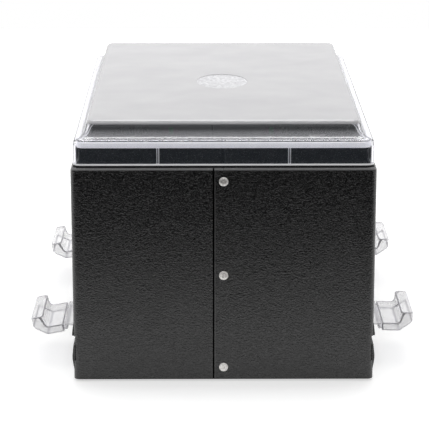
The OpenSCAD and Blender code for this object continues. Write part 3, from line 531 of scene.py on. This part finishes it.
# Zinc plate: a soft grey metal whose crystals differ a little in tone and gloss.
zinc_plate, tree, shader = new_finish("zinc_plated_sheet", "#9C9EA0", roughness=0.42, metallic=1.0)
place = add_node(tree, "ShaderNodeTexCoord")
spangle = add_node(tree, "ShaderNodeTexVoronoi", inputs={"Scale": 1 / (SPANGLE * MM)},
                   links={"Vector": (place, "Object")})
vary_colour(tree, shader, (spangle, "Color"), "#8B8E91", "#AAACAE", low=0.2, high=0.8)
gloss = add_node(tree, "ShaderNodeMapRange", inputs={"To Min": 0.34, "To Max": 0.5},
                 links={"Value": (spangle, "Color")})
tree.links.new(gloss.outputs["Result"], shader.inputs["Roughness"])
dress(zinc_plate, "power_supply")

# Folded aluminium: bright strip with rolling lines along the fins.
folded_fins, tree, shader = new_finish("folded_aluminium_fins", "#C6C6C8", roughness=0.3, metallic=1.0)
place = add_node(tree, "ShaderNodeTexCoord")
rolled = add_node(tree, "ShaderNodeMapping", inputs={"Scale": (0.05, 1.0, 1.0)},
                  links={"Vector": (place, "Object")})
roll_lines = add_node(tree, "ShaderNodeTexNoise", inputs={"Scale": 1 / (ROLL_LINE * MM)},
                      links={"Vector": (rolled, "Vector")})
vary_colour(tree, shader, (roll_lines, "Fac"), "#B4B4B7", "#D2D2D4")
dress(folded_fins, "heater_block")

# Glass-filled nylon: cream and matt, with a skin roughened by its fibres.
cream_nylon = moulded_plastic("glass_filled_cream_nylon", "#CFC6AE", "#DDD5C0", roughness=0.55, spark=1.0)
dress(cream_nylon, "heater_frame")
dress(black_acetal, "fan_frame", "fan_rotor")
dress(natural_acetal, "humidity_sensor")

# Solder mask: a glossy green lacquer, lighter along the copper tracks.
solder_mask, tree, shader = new_finish("green_solder_mask", "#0F4A2A", roughness=0.3)
place = add_node(tree, "ShaderNodeTexCoord")
tracks = add_node(tree, "ShaderNodeTexVoronoi", {"distance": "CHEBYCHEV", "feature": "DISTANCE_TO_EDGE"},
                  inputs={"Scale": 1 / (TRACK_PITCH * MM)}, links={"Vector": (place, "Object")})
vary_colour(tree, shader, (tracks, "Distance"), "#1C6A40", "#0E4528", low=0.04, high=0.1)
bump = add_node(tree, "ShaderNodeBump", inputs={"Strength": 0.3, "Distance": 0.05 * MM},
                links={"Height": (tracks, "Distance")})
tree.links.new(bump.outputs["Normal"], shader.inputs["Normal"])
dress(solder_mask, "control_board")

# ---- Control end ----
# A black moulded panel is screwed to the heater end, with a tinted display window and three buttons.
# Below it are a glossy red rocker switch and a black mains inlet, snapped into the sheet.
CLOUD = 5             # width of a cloud of pigment
SMEAR = 12            # width of a finger's smear

# Moulded ABS: an even soft sheen, black for the panel, the switch and the inlet, pale for the buttons.
black_abs = moulded_plastic("black_moulded_abs", "#1B1B1D", "#262628", roughness=0.42, spark=0.9)
dress(black_abs, "control_panel", "switch_housing", "power_inlet")
pale_abs = moulded_plastic("pale_moulded_abs", "#D8D8D4", "#E4E4E0", roughness=0.4, spark=0.9)
dress(pale_abs, "button_less", "button_more", "button_set")

# Glossy ABS: polished in the mould, with the faint clouds of its red pigment.
red_abs, tree, shader = new_finish("glossy_red_abs", "#B0141C", roughness=0.18)
place = add_node(tree, "ShaderNodeTexCoord")
clouds = add_node(tree, "ShaderNodeTexNoise", inputs={"Scale": 1 / (CLOUD * MM), "Detail": 2.0},
                  links={"Vector": (place, "Object")})
vary_colour(tree, shader, (clouds, "Fac"), "#A81018", "#BE1A22")
dress(red_abs, "power_rocker")

# Tinted acrylic: a nearly black window, polished, with faint smears where fingers wipe it.
tinted_acrylic, tree, shader = new_finish("tinted_acrylic", "#0A0C10", roughness=0.06)
place = add_node(tree, "ShaderNodeTexCoord")
smears = add_node(tree, "ShaderNodeTexNoise", inputs={"Scale": 1 / (SMEAR * MM), "Detail": 3.0},
                  links={"Vector": (place, "Object")})
gloss = add_node(tree, "ShaderNodeMapRange", inputs={"To Min": 0.04, "To Max": 0.1},
                 links={"Value": (smears, "Fac")})
tree.links.new(gloss.outputs["Result"], shader.inputs["Roughness"])
vary_colour(tree, shader, (smears, "Fac"), "#080A0E", "#0E1117")
dress(tinted_acrylic, "display_window")
dress(solder_mask, "display_module")

# ---- Filament outlets ----
# Four bushes of black acetal are moulded with a barb and snapped into holes in the right wall.
# The filament leaves the chamber through them, and each one takes the end of a guide tube.
dress(black_acetal, "filament_outlets")

# ---- Lid ----
# The lid is one clear polycarbonate moulding: a rim round the neck, a soft step up, and a panel.
# Ribs inside the rim centre it; a translucent silicone seal under its shoulder closes the neck.
# A black rubber gasket lies on the ledge under the rim.
lid_low, lid_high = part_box("lid")
RIM_HALF = (lid_high.x / MM, lid_high.y / MM)
RIM_BOTTOM = lid_low.z / MM
RIM_CORNER = 7
LID_TOP = lid_high.z / MM
LID_WALL = 2.2
# The outline from the rim up, as (inset from the rim, height): the outside in two stretches, then the inside.
SHOULDER = [(0.15, 209.0), (0.35, 211.0), (0.7, 212.4), (1.3, 213.4), (2.4, 214.0)]
STEP = [(3.6, 214.2), (5.2, 214.6), (6.8, 215.3), (8.2, 216.5), (9.3, 218.1), (10.1, 220.0), (10.7, 222.0),
        (11.2, 224.0), (11.7, 225.7), (12.3, 227.1), (13.1, 228.2), (14.1, 228.8), (15.5, LID_TOP)]
INNER_STEP = [(2.3, 208.5), (2.6, 210.6), (3.4, 211.85), (5.0, 212.1), (7.0, 212.8), (8.8, 213.9),
              (10.3, 215.6), (11.6, 218.0), (12.4, 220.4), (13.0, 222.8), (13.6, 224.6), (14.4, 226.0),
              (15.6, LID_TOP - LID_WALL)]
EDGE_ROUND = 0.3
EDGE_BAND = 1.6            # height of the ground band along the rim's lower edge
EDGE_PAINTED_GLOW = 0.28
FROST_FROM = 225.6         # height from which the outside is frosted
STEP_HAZE = 0.3            # share of haze at the foot of the step, where the moulding is drawn thin
HAZE_FROM = 214.5
HAZE_TO = 222
SHEET_PAINTED_GLOW = 0.01
NECK_HALF = (123.5, 195.5)
RIB_PITCH = 111.4
RIB_WIDTH = 2.5
RIB_DEPTH = 2.4
RIB_TOP = 207.2
RIB_ROUND = 0.4
RIB_SHADE_HALF = 0.5             # half the width of a rib's painted darker middle
RIB_PLAY = 0.3             # between a rib and the neck
RECESS_HALF = (23.5, 33.5)
RECESS_MIDDLE = -17.5
RECESS_DEPTH = 0.5
RECESS_ROUND = 0.4
CUTTER_HALF = 2            # half the height of the shape that cuts the recess
SEAL_PAINTED_GLOW = 0.42
PLASTIC_IOR = 1.58         # the index of polycarbonate
FLOW = 30                  # width of the marks that the flowing melt leaves
ETCH = 45                  # width of the clouds of the etching
FACET = 2.2                # width of a spark-eroded facet, drawn coarse so that it shows
SCORE = 1.5                # width of the scores that grinding leaves
SKIN = 4                   # width of the clouds in silicone
NEAR = 0.1                 # how closely an edge or a face lies where it is looked for
UPRIGHT = 0.01             # Z of the normal of an upright face, at most
FACING = 0.99              # how far the normal of a face goes the way that it looks, at least
ROUNDED_UP = 0.9           # the same, with the beginning of a rounded edge


def pass_shadows(tree, shader, tint):
    """Lets most of the lamps' light through a clear plastic, so what is behind it isn't black."""
    ray = add_node(tree, "ShaderNodeLightPath")
    through = add_node(tree, "ShaderNodeBsdfTransparent", inputs={"Color": linear(tint)})
    either = add_node(tree, "ShaderNodeMixShader",
                      links={0: (ray, "Is Shadow Ray"), 1: (shader, "BSDF"), 2: (through, "BSDF")})
    tree.links.new(either.outputs["Shader"], tree.nodes["Material Output"].inputs["Surface"])


# Clear polycarbonate: high index, glossy and water-clear, with a faint painted glow in the sheet.
clear_polycarbonate, tree, shader = new_finish("clear_polycarbonate", "#E9E9ED", roughness=0.015)
shader.inputs["IOR"].default_value = PLASTIC_IOR
shader.inputs["Transmission Weight"].default_value = 1.0
# The sheet's faint glow is painted light.
shader.inputs["Emission Color"].default_value = linear("#A8B8C8")
shader.inputs["Emission Strength"].default_value = SHEET_PAINTED_GLOW
place = add_node(tree, "ShaderNodeTexCoord")
flow = add_node(tree, "ShaderNodeTexNoise", inputs={"Scale": 1 / (FLOW * MM), "Detail": 2.0},
                links={"Vector": (place, "Object")})
gloss = add_node(tree, "ShaderNodeMapRange", inputs={"To Min": 0.0, "To Max": 0.04},
                 links={"Value": (flow, "Fac")})
tree.links.new(gloss.outputs["Result"], shader.inputs["Roughness"])
parts = add_node(tree, "ShaderNodeSeparateXYZ", links={"Vector": (place, "Object")})
below_step = add_node(tree, "ShaderNodeMath", {"operation": "LESS_THAN"}, {1: (SHOULDER[-1][1] - NEAR) * MM},
                      {0: (parts, "Z")})
cleared = add_node(tree, "ShaderNodeMapRange",
                   inputs={"From Min": HAZE_FROM * MM, "From Max": HAZE_TO * MM, "To Min": 1 - STEP_HAZE},
                   links={"Value": (parts, "Z")})
weight = add_node(tree, "ShaderNodeMath", {"operation": "MAXIMUM"},
                  links={0: (below_step, 0), 1: (cleared, "Result")})
tree.links.new(weight.outputs[0], shader.inputs["Transmission Weight"])
pass_shadows(tree, shader, "#FAFAFC")

# Frosted panel: the mould is lightly etched here, so it scatters a pale grey and keeps a soft gloss.
frosted_panel, tree, shader = new_finish("frosted_polycarbonate", "#CDCCCF", roughness=0.2)
shader.inputs["IOR"].default_value = PLASTIC_IOR
shader.inputs["Transmission Weight"].default_value = 0.25
place = add_node(tree, "ShaderNodeTexCoord")
etch = add_node(tree, "ShaderNodeTexNoise", inputs={"Scale": 1 / (ETCH * MM), "Detail": 2.0},
                links={"Vector": (place, "Object")})
vary_colour(tree, shader, (etch, "Fac"), "#CAC9CC", "#D3D2D4")

# Spark-eroded recess: coarse bright facets on the same plastic.
spark_recess, tree, shader = new_finish("spark_eroded_polycarbonate", "#E4E3E7", roughness=0.25)
shader.inputs["IOR"].default_value = PLASTIC_IOR
place = add_node(tree, "ShaderNodeTexCoord")
facets = add_node(tree, "ShaderNodeTexVoronoi", inputs={"Scale": 1 / (FACET * MM)},
                  links={"Vector": (place, "Object")})
vary_colour(tree, shader, (facets, "Color"), "#B4B3B7", "#DEDEE1", low=0.0, high=1.0)
bump = add_node(tree, "ShaderNodeBump", inputs={"Distance": 0.3 * MM},
                links={"Height": (facets, "Distance")})
tree.links.new(bump.outputs["Normal"], shader.inputs["Normal"])

# Ground edge: the cut rim is matt and nearly white, and has a painted glow for the light that the sheet pipes
# to it.
# The ribs take the same near-white tone as painted highlights on their flanks, with a darker middle as
# painted shade where the clear plastic shows the dark behind it.
ground_edge_and_painted_light, tree, shader = new_finish("ground_polycarbonate_edge_and_painted_light", "#F2F2F4", roughness=0.45)
place = add_node(tree, "ShaderNodeTexCoord")
scores = add_node(tree, "ShaderNodeTexNoise", inputs={"Scale": 1 / (SCORE * MM), "Detail": 2.0},
                  links={"Vector": (place, "Object")})
tones = vary_colour(tree, shader, (scores, "Fac"), "#E6E6E9", "#FCFCFD", low=0.0, high=1.0)
parts = add_node(tree, "ShaderNodeSeparateXYZ", links={"Vector": (place, "Object")})
# Painted highlights on the ribs' flanks and painted shade along their middle.
off_middle = add_node(tree, "ShaderNodeMath", {"operation": "ABSOLUTE"}, links={0: (parts, "X")})
in_core = add_node(tree, "ShaderNodeMath", {"operation": "COMPARE"},
                   {1: RIB_PITCH / 2 * MM, 2: RIB_SHADE_HALF * MM}, {0: (off_middle, 0)})
above_band = add_node(tree, "ShaderNodeMath", {"operation": "GREATER_THAN"},
                      {1: (RIM_BOTTOM + EDGE_BAND) * MM}, {0: (parts, "Z")})
rib_shade = add_node(tree, "ShaderNodeMath", {"operation": "MULTIPLY"},
                    links={0: (in_core, 0), 1: (above_band, 0)})
cored = add_node(tree, "ShaderNodeMix", {"data_type": "RGBA"}, {MIX_B: linear("#6C6C72")},
                 {0: (rib_shade, 0), MIX_A: (tones, MIX_OUT)})
tree.links.new(cored.outputs[MIX_OUT], shader.inputs["Base Color"])
shader.inputs["Emission Color"].default_value = linear("#F4F4F6")
# The glow along the rim's lower band is painted light.
painted_glow = add_node(tree, "ShaderNodeMapRange", inputs={"To Min": EDGE_PAINTED_GLOW, "To Max": 0.0},
                 links={"Value": (above_band, 0)})
tree.links.new(painted_glow.outputs["Result"], shader.inputs["Emission Strength"])


def step_up(path, half):
    """Carries the selected face through (inset, height) steps, always scaled about the box's axis."""
    for (inset, height), (next_inset, next_height) in zip(path, path[1:]):
        extrude(z=(next_height - height) * MM)
        bpy.ops.transform.resize(value=((half[0] - next_inset) / (half[0] - inset),
                                        (half[1] - next_inset) / (half[1] - inset), 1),
                                 center_override=(0, 0, next_height * MM))


lid = start_piece("clear_lid", bpy.ops.mesh.primitive_cube_add, size=2,
                  location=(0, 0, (RIM_BOTTOM + EDGE_BAND / 2) * MM),
                  scale=(RIM_HALF[0] * MM, RIM_HALF[1] * MM, EDGE_BAND / 2 * MM))
edit(lid)
choose(lid, "EDGE", lambda a, b: abs(a.z - b.z) > EDGE_BAND / 2 * MM)
bpy.ops.mesh.bevel(offset=RIM_CORNER * MM, segments=8, profile=0.5)
choose(lid, "EDGE", lambda a, b: max(a.z, b.z) < (RIM_BOTTOM + NEAR) * MM)
bpy.ops.mesh.bevel(offset=EDGE_ROUND * MM, segments=2, profile=0.5)
choose(lid, "FACE", lambda middle, normal: normal.z > FACING)
step_up([(0, RIM_BOTTOM + EDGE_BAND)] + SHOULDER + STEP, RIM_HALF)
choose(lid, "FACE", lambda middle, normal: normal.z < -FACING)
bpy.ops.mesh.inset(thickness=(LID_WALL - EDGE_ROUND) * MM)
step_up([(LID_WALL, RIM_BOTTOM)] + INNER_STEP, RIM_HALF)
bpy.ops.object.mode_set(mode="OBJECT")

# The finger recess: a shallow oval sunk into the panel with a rounded edge.
recess = start_piece("recess", bpy.ops.mesh.primitive_cylinder_add, vertices=96, radius=1, depth=2,
                     location=(0, RECESS_MIDDLE * MM, (LID_TOP - RECESS_DEPTH + CUTTER_HALF) * MM),
                     scale=(RECESS_HALF[0] * MM, RECESS_HALF[1] * MM, CUTTER_HALF * MM))
apply_modifier(recess, "BEVEL", width=RECESS_ROUND * MM, segments=3, limit_method="ANGLE")
apply_modifier(lid, "BOOLEAN", object=recess, operation="DIFFERENCE", solver="EXACT")
bpy.data.objects.remove(recess)

# The ribs: two in each end of the rim and three in each side, as (x, y, width, depth).
RIB_END_Y = NECK_HALF[1] + RIB_PLAY + RIB_DEPTH / 2
RIB_SIDE_X = NECK_HALF[0] + RIB_PLAY + RIB_DEPTH / 2
ribs = [(side * RIB_PITCH / 2, end * RIB_END_Y, RIB_WIDTH, RIB_DEPTH)
        for end in (-1, 1) for side in (-1, 1)]
ribs += [(side * RIB_SIDE_X, along * RIB_PITCH, RIB_DEPTH, RIB_WIDTH)
         for side in (-1, 1) for along in (-1, 0, 1)]
rib_pieces = []
for x, y, width, depth in ribs:
    rib = start_piece("rib", bpy.ops.mesh.primitive_cube_add, size=1,
                      location=(x * MM, y * MM, (RIM_BOTTOM + RIB_TOP) / 2 * MM),
                      scale=(width * MM, depth * MM, (RIB_TOP - RIM_BOTTOM) * MM))
    apply_modifier(rib, "BEVEL", width=RIB_ROUND * MM, segments=2, limit_method="ANGLE")
    rib_pieces.append(rib)
lid = join_pieces("clear_lid", [lid] + rib_pieces)


def in_rib(point):
    """Whether a point of the lid lies in one of its ribs."""
    return point.z < (RIB_TOP + NEAR) * MM and any(
        abs(point.x / MM - x) <= width / 2 + NEAR and abs(point.y / MM - y) <= depth / 2 + NEAR
        for x, y, width, depth in ribs)


lid_finishes = [clear_polycarbonate, frosted_panel, spark_recess, ground_edge_and_painted_light]
fit_piece(lid, lid_finishes, "lid", "lid", smooth=40)
for face in lid.data.polygons:
    height = face.center.z / MM
    finish = clear_polycarbonate
    if height > FROST_FROM and face.normal.z > -UPRIGHT:
        finish = frosted_panel
    elif height < RIM_BOTTOM + EDGE_BAND or in_rib(face.center):
        finish = ground_edge_and_painted_light
    if face.normal.z > ROUNDED_UP and abs(height - LID_TOP + RECESS_DEPTH) < NEAR / 2:
        finish = spark_recess
    face.material_index = lid_finishes.index(finish)

# Translucent white silicone: soft, slightly waxy, with a dull skin, and a painted glow where it lies in the
# shade under the lid's shoulder.
white_silicone, tree, shader = new_finish("translucent_white_silicone", "#DEDDE0", roughness=0.55)
shader.inputs["Subsurface Weight"].default_value = 0.3
shader.inputs["Subsurface Scale"].default_value = 1.5 * MM
shader.inputs["Subsurface Radius"].default_value = (1.0, 1.0, 1.0)
place = add_node(tree, "ShaderNodeTexCoord")
skin = add_node(tree, "ShaderNodeTexNoise", inputs={"Scale": 1 / (SKIN * MM), "Detail": 3.0},
                links={"Vector": (place, "Object")})
vary_colour(tree, shader, (skin, "Fac"), "#EFEEF1", "#F6F5F8")
# The seal's glow is painted light.
shader.inputs["Emission Color"].default_value = linear("#F4F4F6")
shader.inputs["Emission Strength"].default_value = SEAL_PAINTED_GLOW
dress(white_silicone, "lid_seal")
dress(moulded_rubber, "lid_gasket")

# ---- Hooks ----
# Four J-shaped hooks of slightly milky polycarbonate fold down on short hinges beside the case.
# Each hangs by two knuckles on a steel pin, and a bracket's tongue comes through the wall between them.
dress(drawn_steel, "hook_pins")

# The hooks' hinges are taken from the box's joints, by the hook that each one carries.
hinges = {joint["child"]: joint for joint in frame["joints"] if joint["child"].startswith("hook_")}
PIN_X, PIN_Y, PIN_Z = [value / MM for value in hinges["hook_right_far"]["pos_m"]]
HOOK_LENGTH = 65
KNUCKLE_LENGTH = 19.5
BARREL_RADIUS = 1.5
BARREL_SIDES = 32
WEB_REACH = 2.8           # the web joins a knuckle to its arm
WEB_HEIGHT = 2.4
WEB_DROP = 0.2
ARM_START = 2.4           # outline of the arm, from its hinge pin
ARM_UNDER = -3.2
ARM_TOP = 4.0
ARM_REACH = 29.5
TIP_INNER = 18.8
TIP_TOP = 14.4
TIP_CHAMFER = (11.6, 8.6)  # how far the slope under the tip runs inwards and upwards
TIP_CORNER = 3.2
TIP_MARGIN = 1            # keeps the slope's own edge and the arm's top out of a choice
INNER_ROUND = 4
HOOK_ROUND = 1.1
SHARP = math.radians(32)  # edges that turn more than this are rounded
FLAT = math.radians(1)    # faces that turn less than this become one
MILKINESS = 0.38          # how much of the light the milky plastic holds back
HAZE = 8                  # width of the clouds of haze in the arm, and then in its edges
EDGE_HAZE = 5

# Milky polycarbonate: a thick moulding that shows what is behind it through a pale haze.
milky_polycarbonate, tree, shader = new_finish("milky_polycarbonate", "#F0EFF1", roughness=0.2)
shader.inputs["IOR"].default_value = PLASTIC_IOR
place = add_node(tree, "ShaderNodeTexCoord")
haze = add_node(tree, "ShaderNodeTexNoise", inputs={"Scale": 1 / (HAZE * MM), "Detail": 3.0},
                links={"Vector": (place, "Object")})
vary_colour(tree, shader, (haze, "Fac"), "#F2F1F4", "#FBFAFC", low=0.0, high=1.0)
shader.inputs["Alpha"].default_value = MILKINESS
pass_shadows(tree, shader, "#F4F4F6")

# Rounded edges of the same plastic get a greyer copy of it: painted shade for the light that they pipe away.
milky_edge, tree, shader = new_finish("milky_polycarbonate_edge", "#B5B4B9", roughness=0.3)
shader.inputs["IOR"].default_value = PLASTIC_IOR
place = add_node(tree, "ShaderNodeTexCoord")
haze = add_node(tree, "ShaderNodeTexNoise", inputs={"Scale": 1 / (EDGE_HAZE * MM), "Detail": 2.0},
                links={"Vector": (place, "Object")})
vary_colour(tree, shader, (haze, "Fac"), "#CDCCD1", "#E4E3E7", low=0.0, high=1.0)
pass_shadows(tree, shader, "#F4F4F6")


def low_edge(a, b):
    """Whether an edge that runs along the hook lies on the arm's underside."""
    return abs(a.x - b.x) < NEAR * MM and max(a.z, b.z) < (ARM_UNDER + NEAR) * MM


def at_inner_corner(a, b):
    """Whether an edge lies in the corner between the arm and its tip."""
    return max(abs(p.x - TIP_INNER * MM) + abs(p.z - ARM_TOP * MM) for p in (a, b)) < NEAR * MM


# The arm is drawn with its hinge pin on the origin: a block, carried out and up to the tip.
arm = start_piece("arm", bpy.ops.mesh.primitive_cube_add, size=1,
                  location=((ARM_START + TIP_INNER) / 2 * MM, 0, (ARM_TOP + ARM_UNDER) / 2 * MM),
                  scale=((TIP_INNER - ARM_START) * MM, HOOK_LENGTH * MM, (ARM_TOP - ARM_UNDER) * MM))
for finish in (milky_polycarbonate, milky_edge):
    arm.data.materials.append(finish)
edit(arm)
choose(arm, "FACE", lambda middle, normal: normal.x > FACING)
extrude(x=(ARM_REACH - TIP_INNER) * MM)
choose(arm, "FACE", lambda middle, normal: normal.z > FACING and middle.x > TIP_INNER * MM)
extrude(z=(TIP_TOP - ARM_TOP) * MM)
bpy.ops.mesh.select_all(action="SELECT")
bpy.ops.mesh.dissolve_limited(angle_limit=FLAT)
# The slope under the tip: an even chamfer, whose inner edge is then moved in.
choose(arm, "EDGE", lambda a, b: low_edge(a, b) and a.x > (ARM_REACH - NEAR) * MM)
bpy.ops.mesh.bevel(offset=TIP_CHAMFER[1] * MM, segments=1)
choose(arm, "EDGE", lambda a, b: low_edge(a, b) and TIP_INNER * MM < a.x < (ARM_REACH - TIP_MARGIN) * MM)
bpy.ops.transform.translate(value=((TIP_CHAMFER[1] - TIP_CHAMFER[0]) * MM, 0, 0))
choose(arm, "EDGE", at_inner_corner)
bpy.ops.mesh.bevel(offset=INNER_ROUND * MM, segments=6, profile=0.5)
choose(arm, "EDGE", lambda a, b: abs(a.z - b.z) > INNER_ROUND * MM
       and min(a.z, b.z) > (ARM_TOP + TIP_MARGIN) * MM)
bpy.ops.mesh.bevel(offset=TIP_CORNER * MM, segments=4, profile=0.5)
bpy.ops.object.mode_set(mode="OBJECT")
# The rounding takes the arm's second finish. Unclamped, it keeps its radius beside short edges.
apply_modifier(arm, "BEVEL", width=HOOK_ROUND * MM, segments=3, limit_method="ANGLE", angle_limit=SHARP,
               use_clamp_overlap=False, material=1)

hinge_parts = []
for side in (-1, 1):
    middle = side * (HOOK_LENGTH - KNUCKLE_LENGTH) / 2 * MM
    knuckle = start_piece("knuckle", bpy.ops.mesh.primitive_cylinder_add, vertices=BARREL_SIDES,
                          radius=BARREL_RADIUS * MM, depth=KNUCKLE_LENGTH * MM,
                          location=(0, middle, 0), rotation=(math.pi / 2, 0, 0))
    web = start_piece("web", bpy.ops.mesh.primitive_cube_add, size=1,
                      location=(WEB_REACH / 2 * MM, middle, -WEB_DROP * MM),
                      scale=(WEB_REACH * MM, KNUCKLE_LENGTH * MM, WEB_HEIGHT * MM))
    hinge_parts += [knuckle, web]
for piece in hinge_parts:
    piece.data.materials.append(milky_polycarbonate)
arm = join_pieces("arm", [arm] + hinge_parts)

# At rest a hook hangs below level by the angle through which it can still be raised.
for name, hinge in hinges.items():
    droop = -hinge["range_deg"][0]
    outward = 0 if hinge["pos_m"][0] > 0 else 180
    hook = copy_of(arm, f"clear_{name}", offset=[value / MM for value in hinge["pos_m"]],
                   turn=(0, droop, outward))
    fit_piece(hook, [], name, name)
bpy.data.objects.remove(arm)

# The bracket is a plate inside the wall with a tongue through it, which ends in the middle knuckle.
WALL_INSIDE = 129.0
PLATE_THICK = 2.2
PLATE_HEIGHT = 16
PLATE_OVERHANG = 6        # how far the plate runs past the hook at each end
PLATE_RISE = 2            # how far above the pin the plate's middle lies
PLATE_ROUND = 0.5
TONGUE_START = WALL_INSIDE - 1
TONGUE_END = PIN_X + 1.7
TONGUE_THICK = 2.2
TONGUE_RISE = 2.9
TONGUE_ROUND = 0.4
POST_WIDTH = 2.4          # the post hangs the middle knuckle from the tongue
POST_HEIGHT = 2
HINGE_PLAY = 0.2
MIDDLE_LENGTH = HOOK_LENGTH - 2 * KNUCKLE_LENGTH - 2 * HINGE_PLAY
plate = start_piece("plate", bpy.ops.mesh.primitive_cube_add, size=1,
                    location=((WALL_INSIDE - PLATE_THICK / 2) * MM, 0, (PIN_Z + PLATE_RISE) * MM),
                    scale=(PLATE_THICK * MM, (HOOK_LENGTH + 2 * PLATE_OVERHANG) * MM, PLATE_HEIGHT * MM))
apply_modifier(plate, "BEVEL", width=PLATE_ROUND * MM, segments=2, limit_method="ANGLE")
tongue = start_piece("tongue", bpy.ops.mesh.primitive_cube_add, size=1,
                     location=((TONGUE_START + TONGUE_END) / 2 * MM, 0, (PIN_Z + TONGUE_RISE) * MM),
                     scale=((TONGUE_END - TONGUE_START) * MM, HOOK_LENGTH * MM, TONGUE_THICK * MM))
apply_modifier(tongue, "BEVEL", width=TONGUE_ROUND * MM, segments=2, limit_method="ANGLE")
barrel = start_piece("barrel", bpy.ops.mesh.primitive_cylinder_add, vertices=BARREL_SIDES,
                     radius=BARREL_RADIUS * MM, depth=MIDDLE_LENGTH * MM,
                     location=(PIN_X * MM, 0, PIN_Z * MM), rotation=(math.pi / 2, 0, 0))
post = start_piece("post", bpy.ops.mesh.primitive_cube_add, size=1,
                   location=(PIN_X * MM, 0, (PIN_Z + POST_HEIGHT / 2) * MM),
                   scale=(POST_WIDTH * MM, MIDDLE_LENGTH * MM, POST_HEIGHT * MM))
bracket = join_pieces("bracket", [plate, tongue, barrel, post])
brackets = [copy_of(bracket, "bracket_copy", offset=(0, along * PIN_Y, 0), turn=(0, 0, turn))
            for along in (-1, 1) for turn in (0, 180)]
bpy.data.objects.remove(bracket)
fit_piece(join_pieces("clear_hook_brackets", brackets), [milky_polycarbonate], "case",
          "hook_brackets")
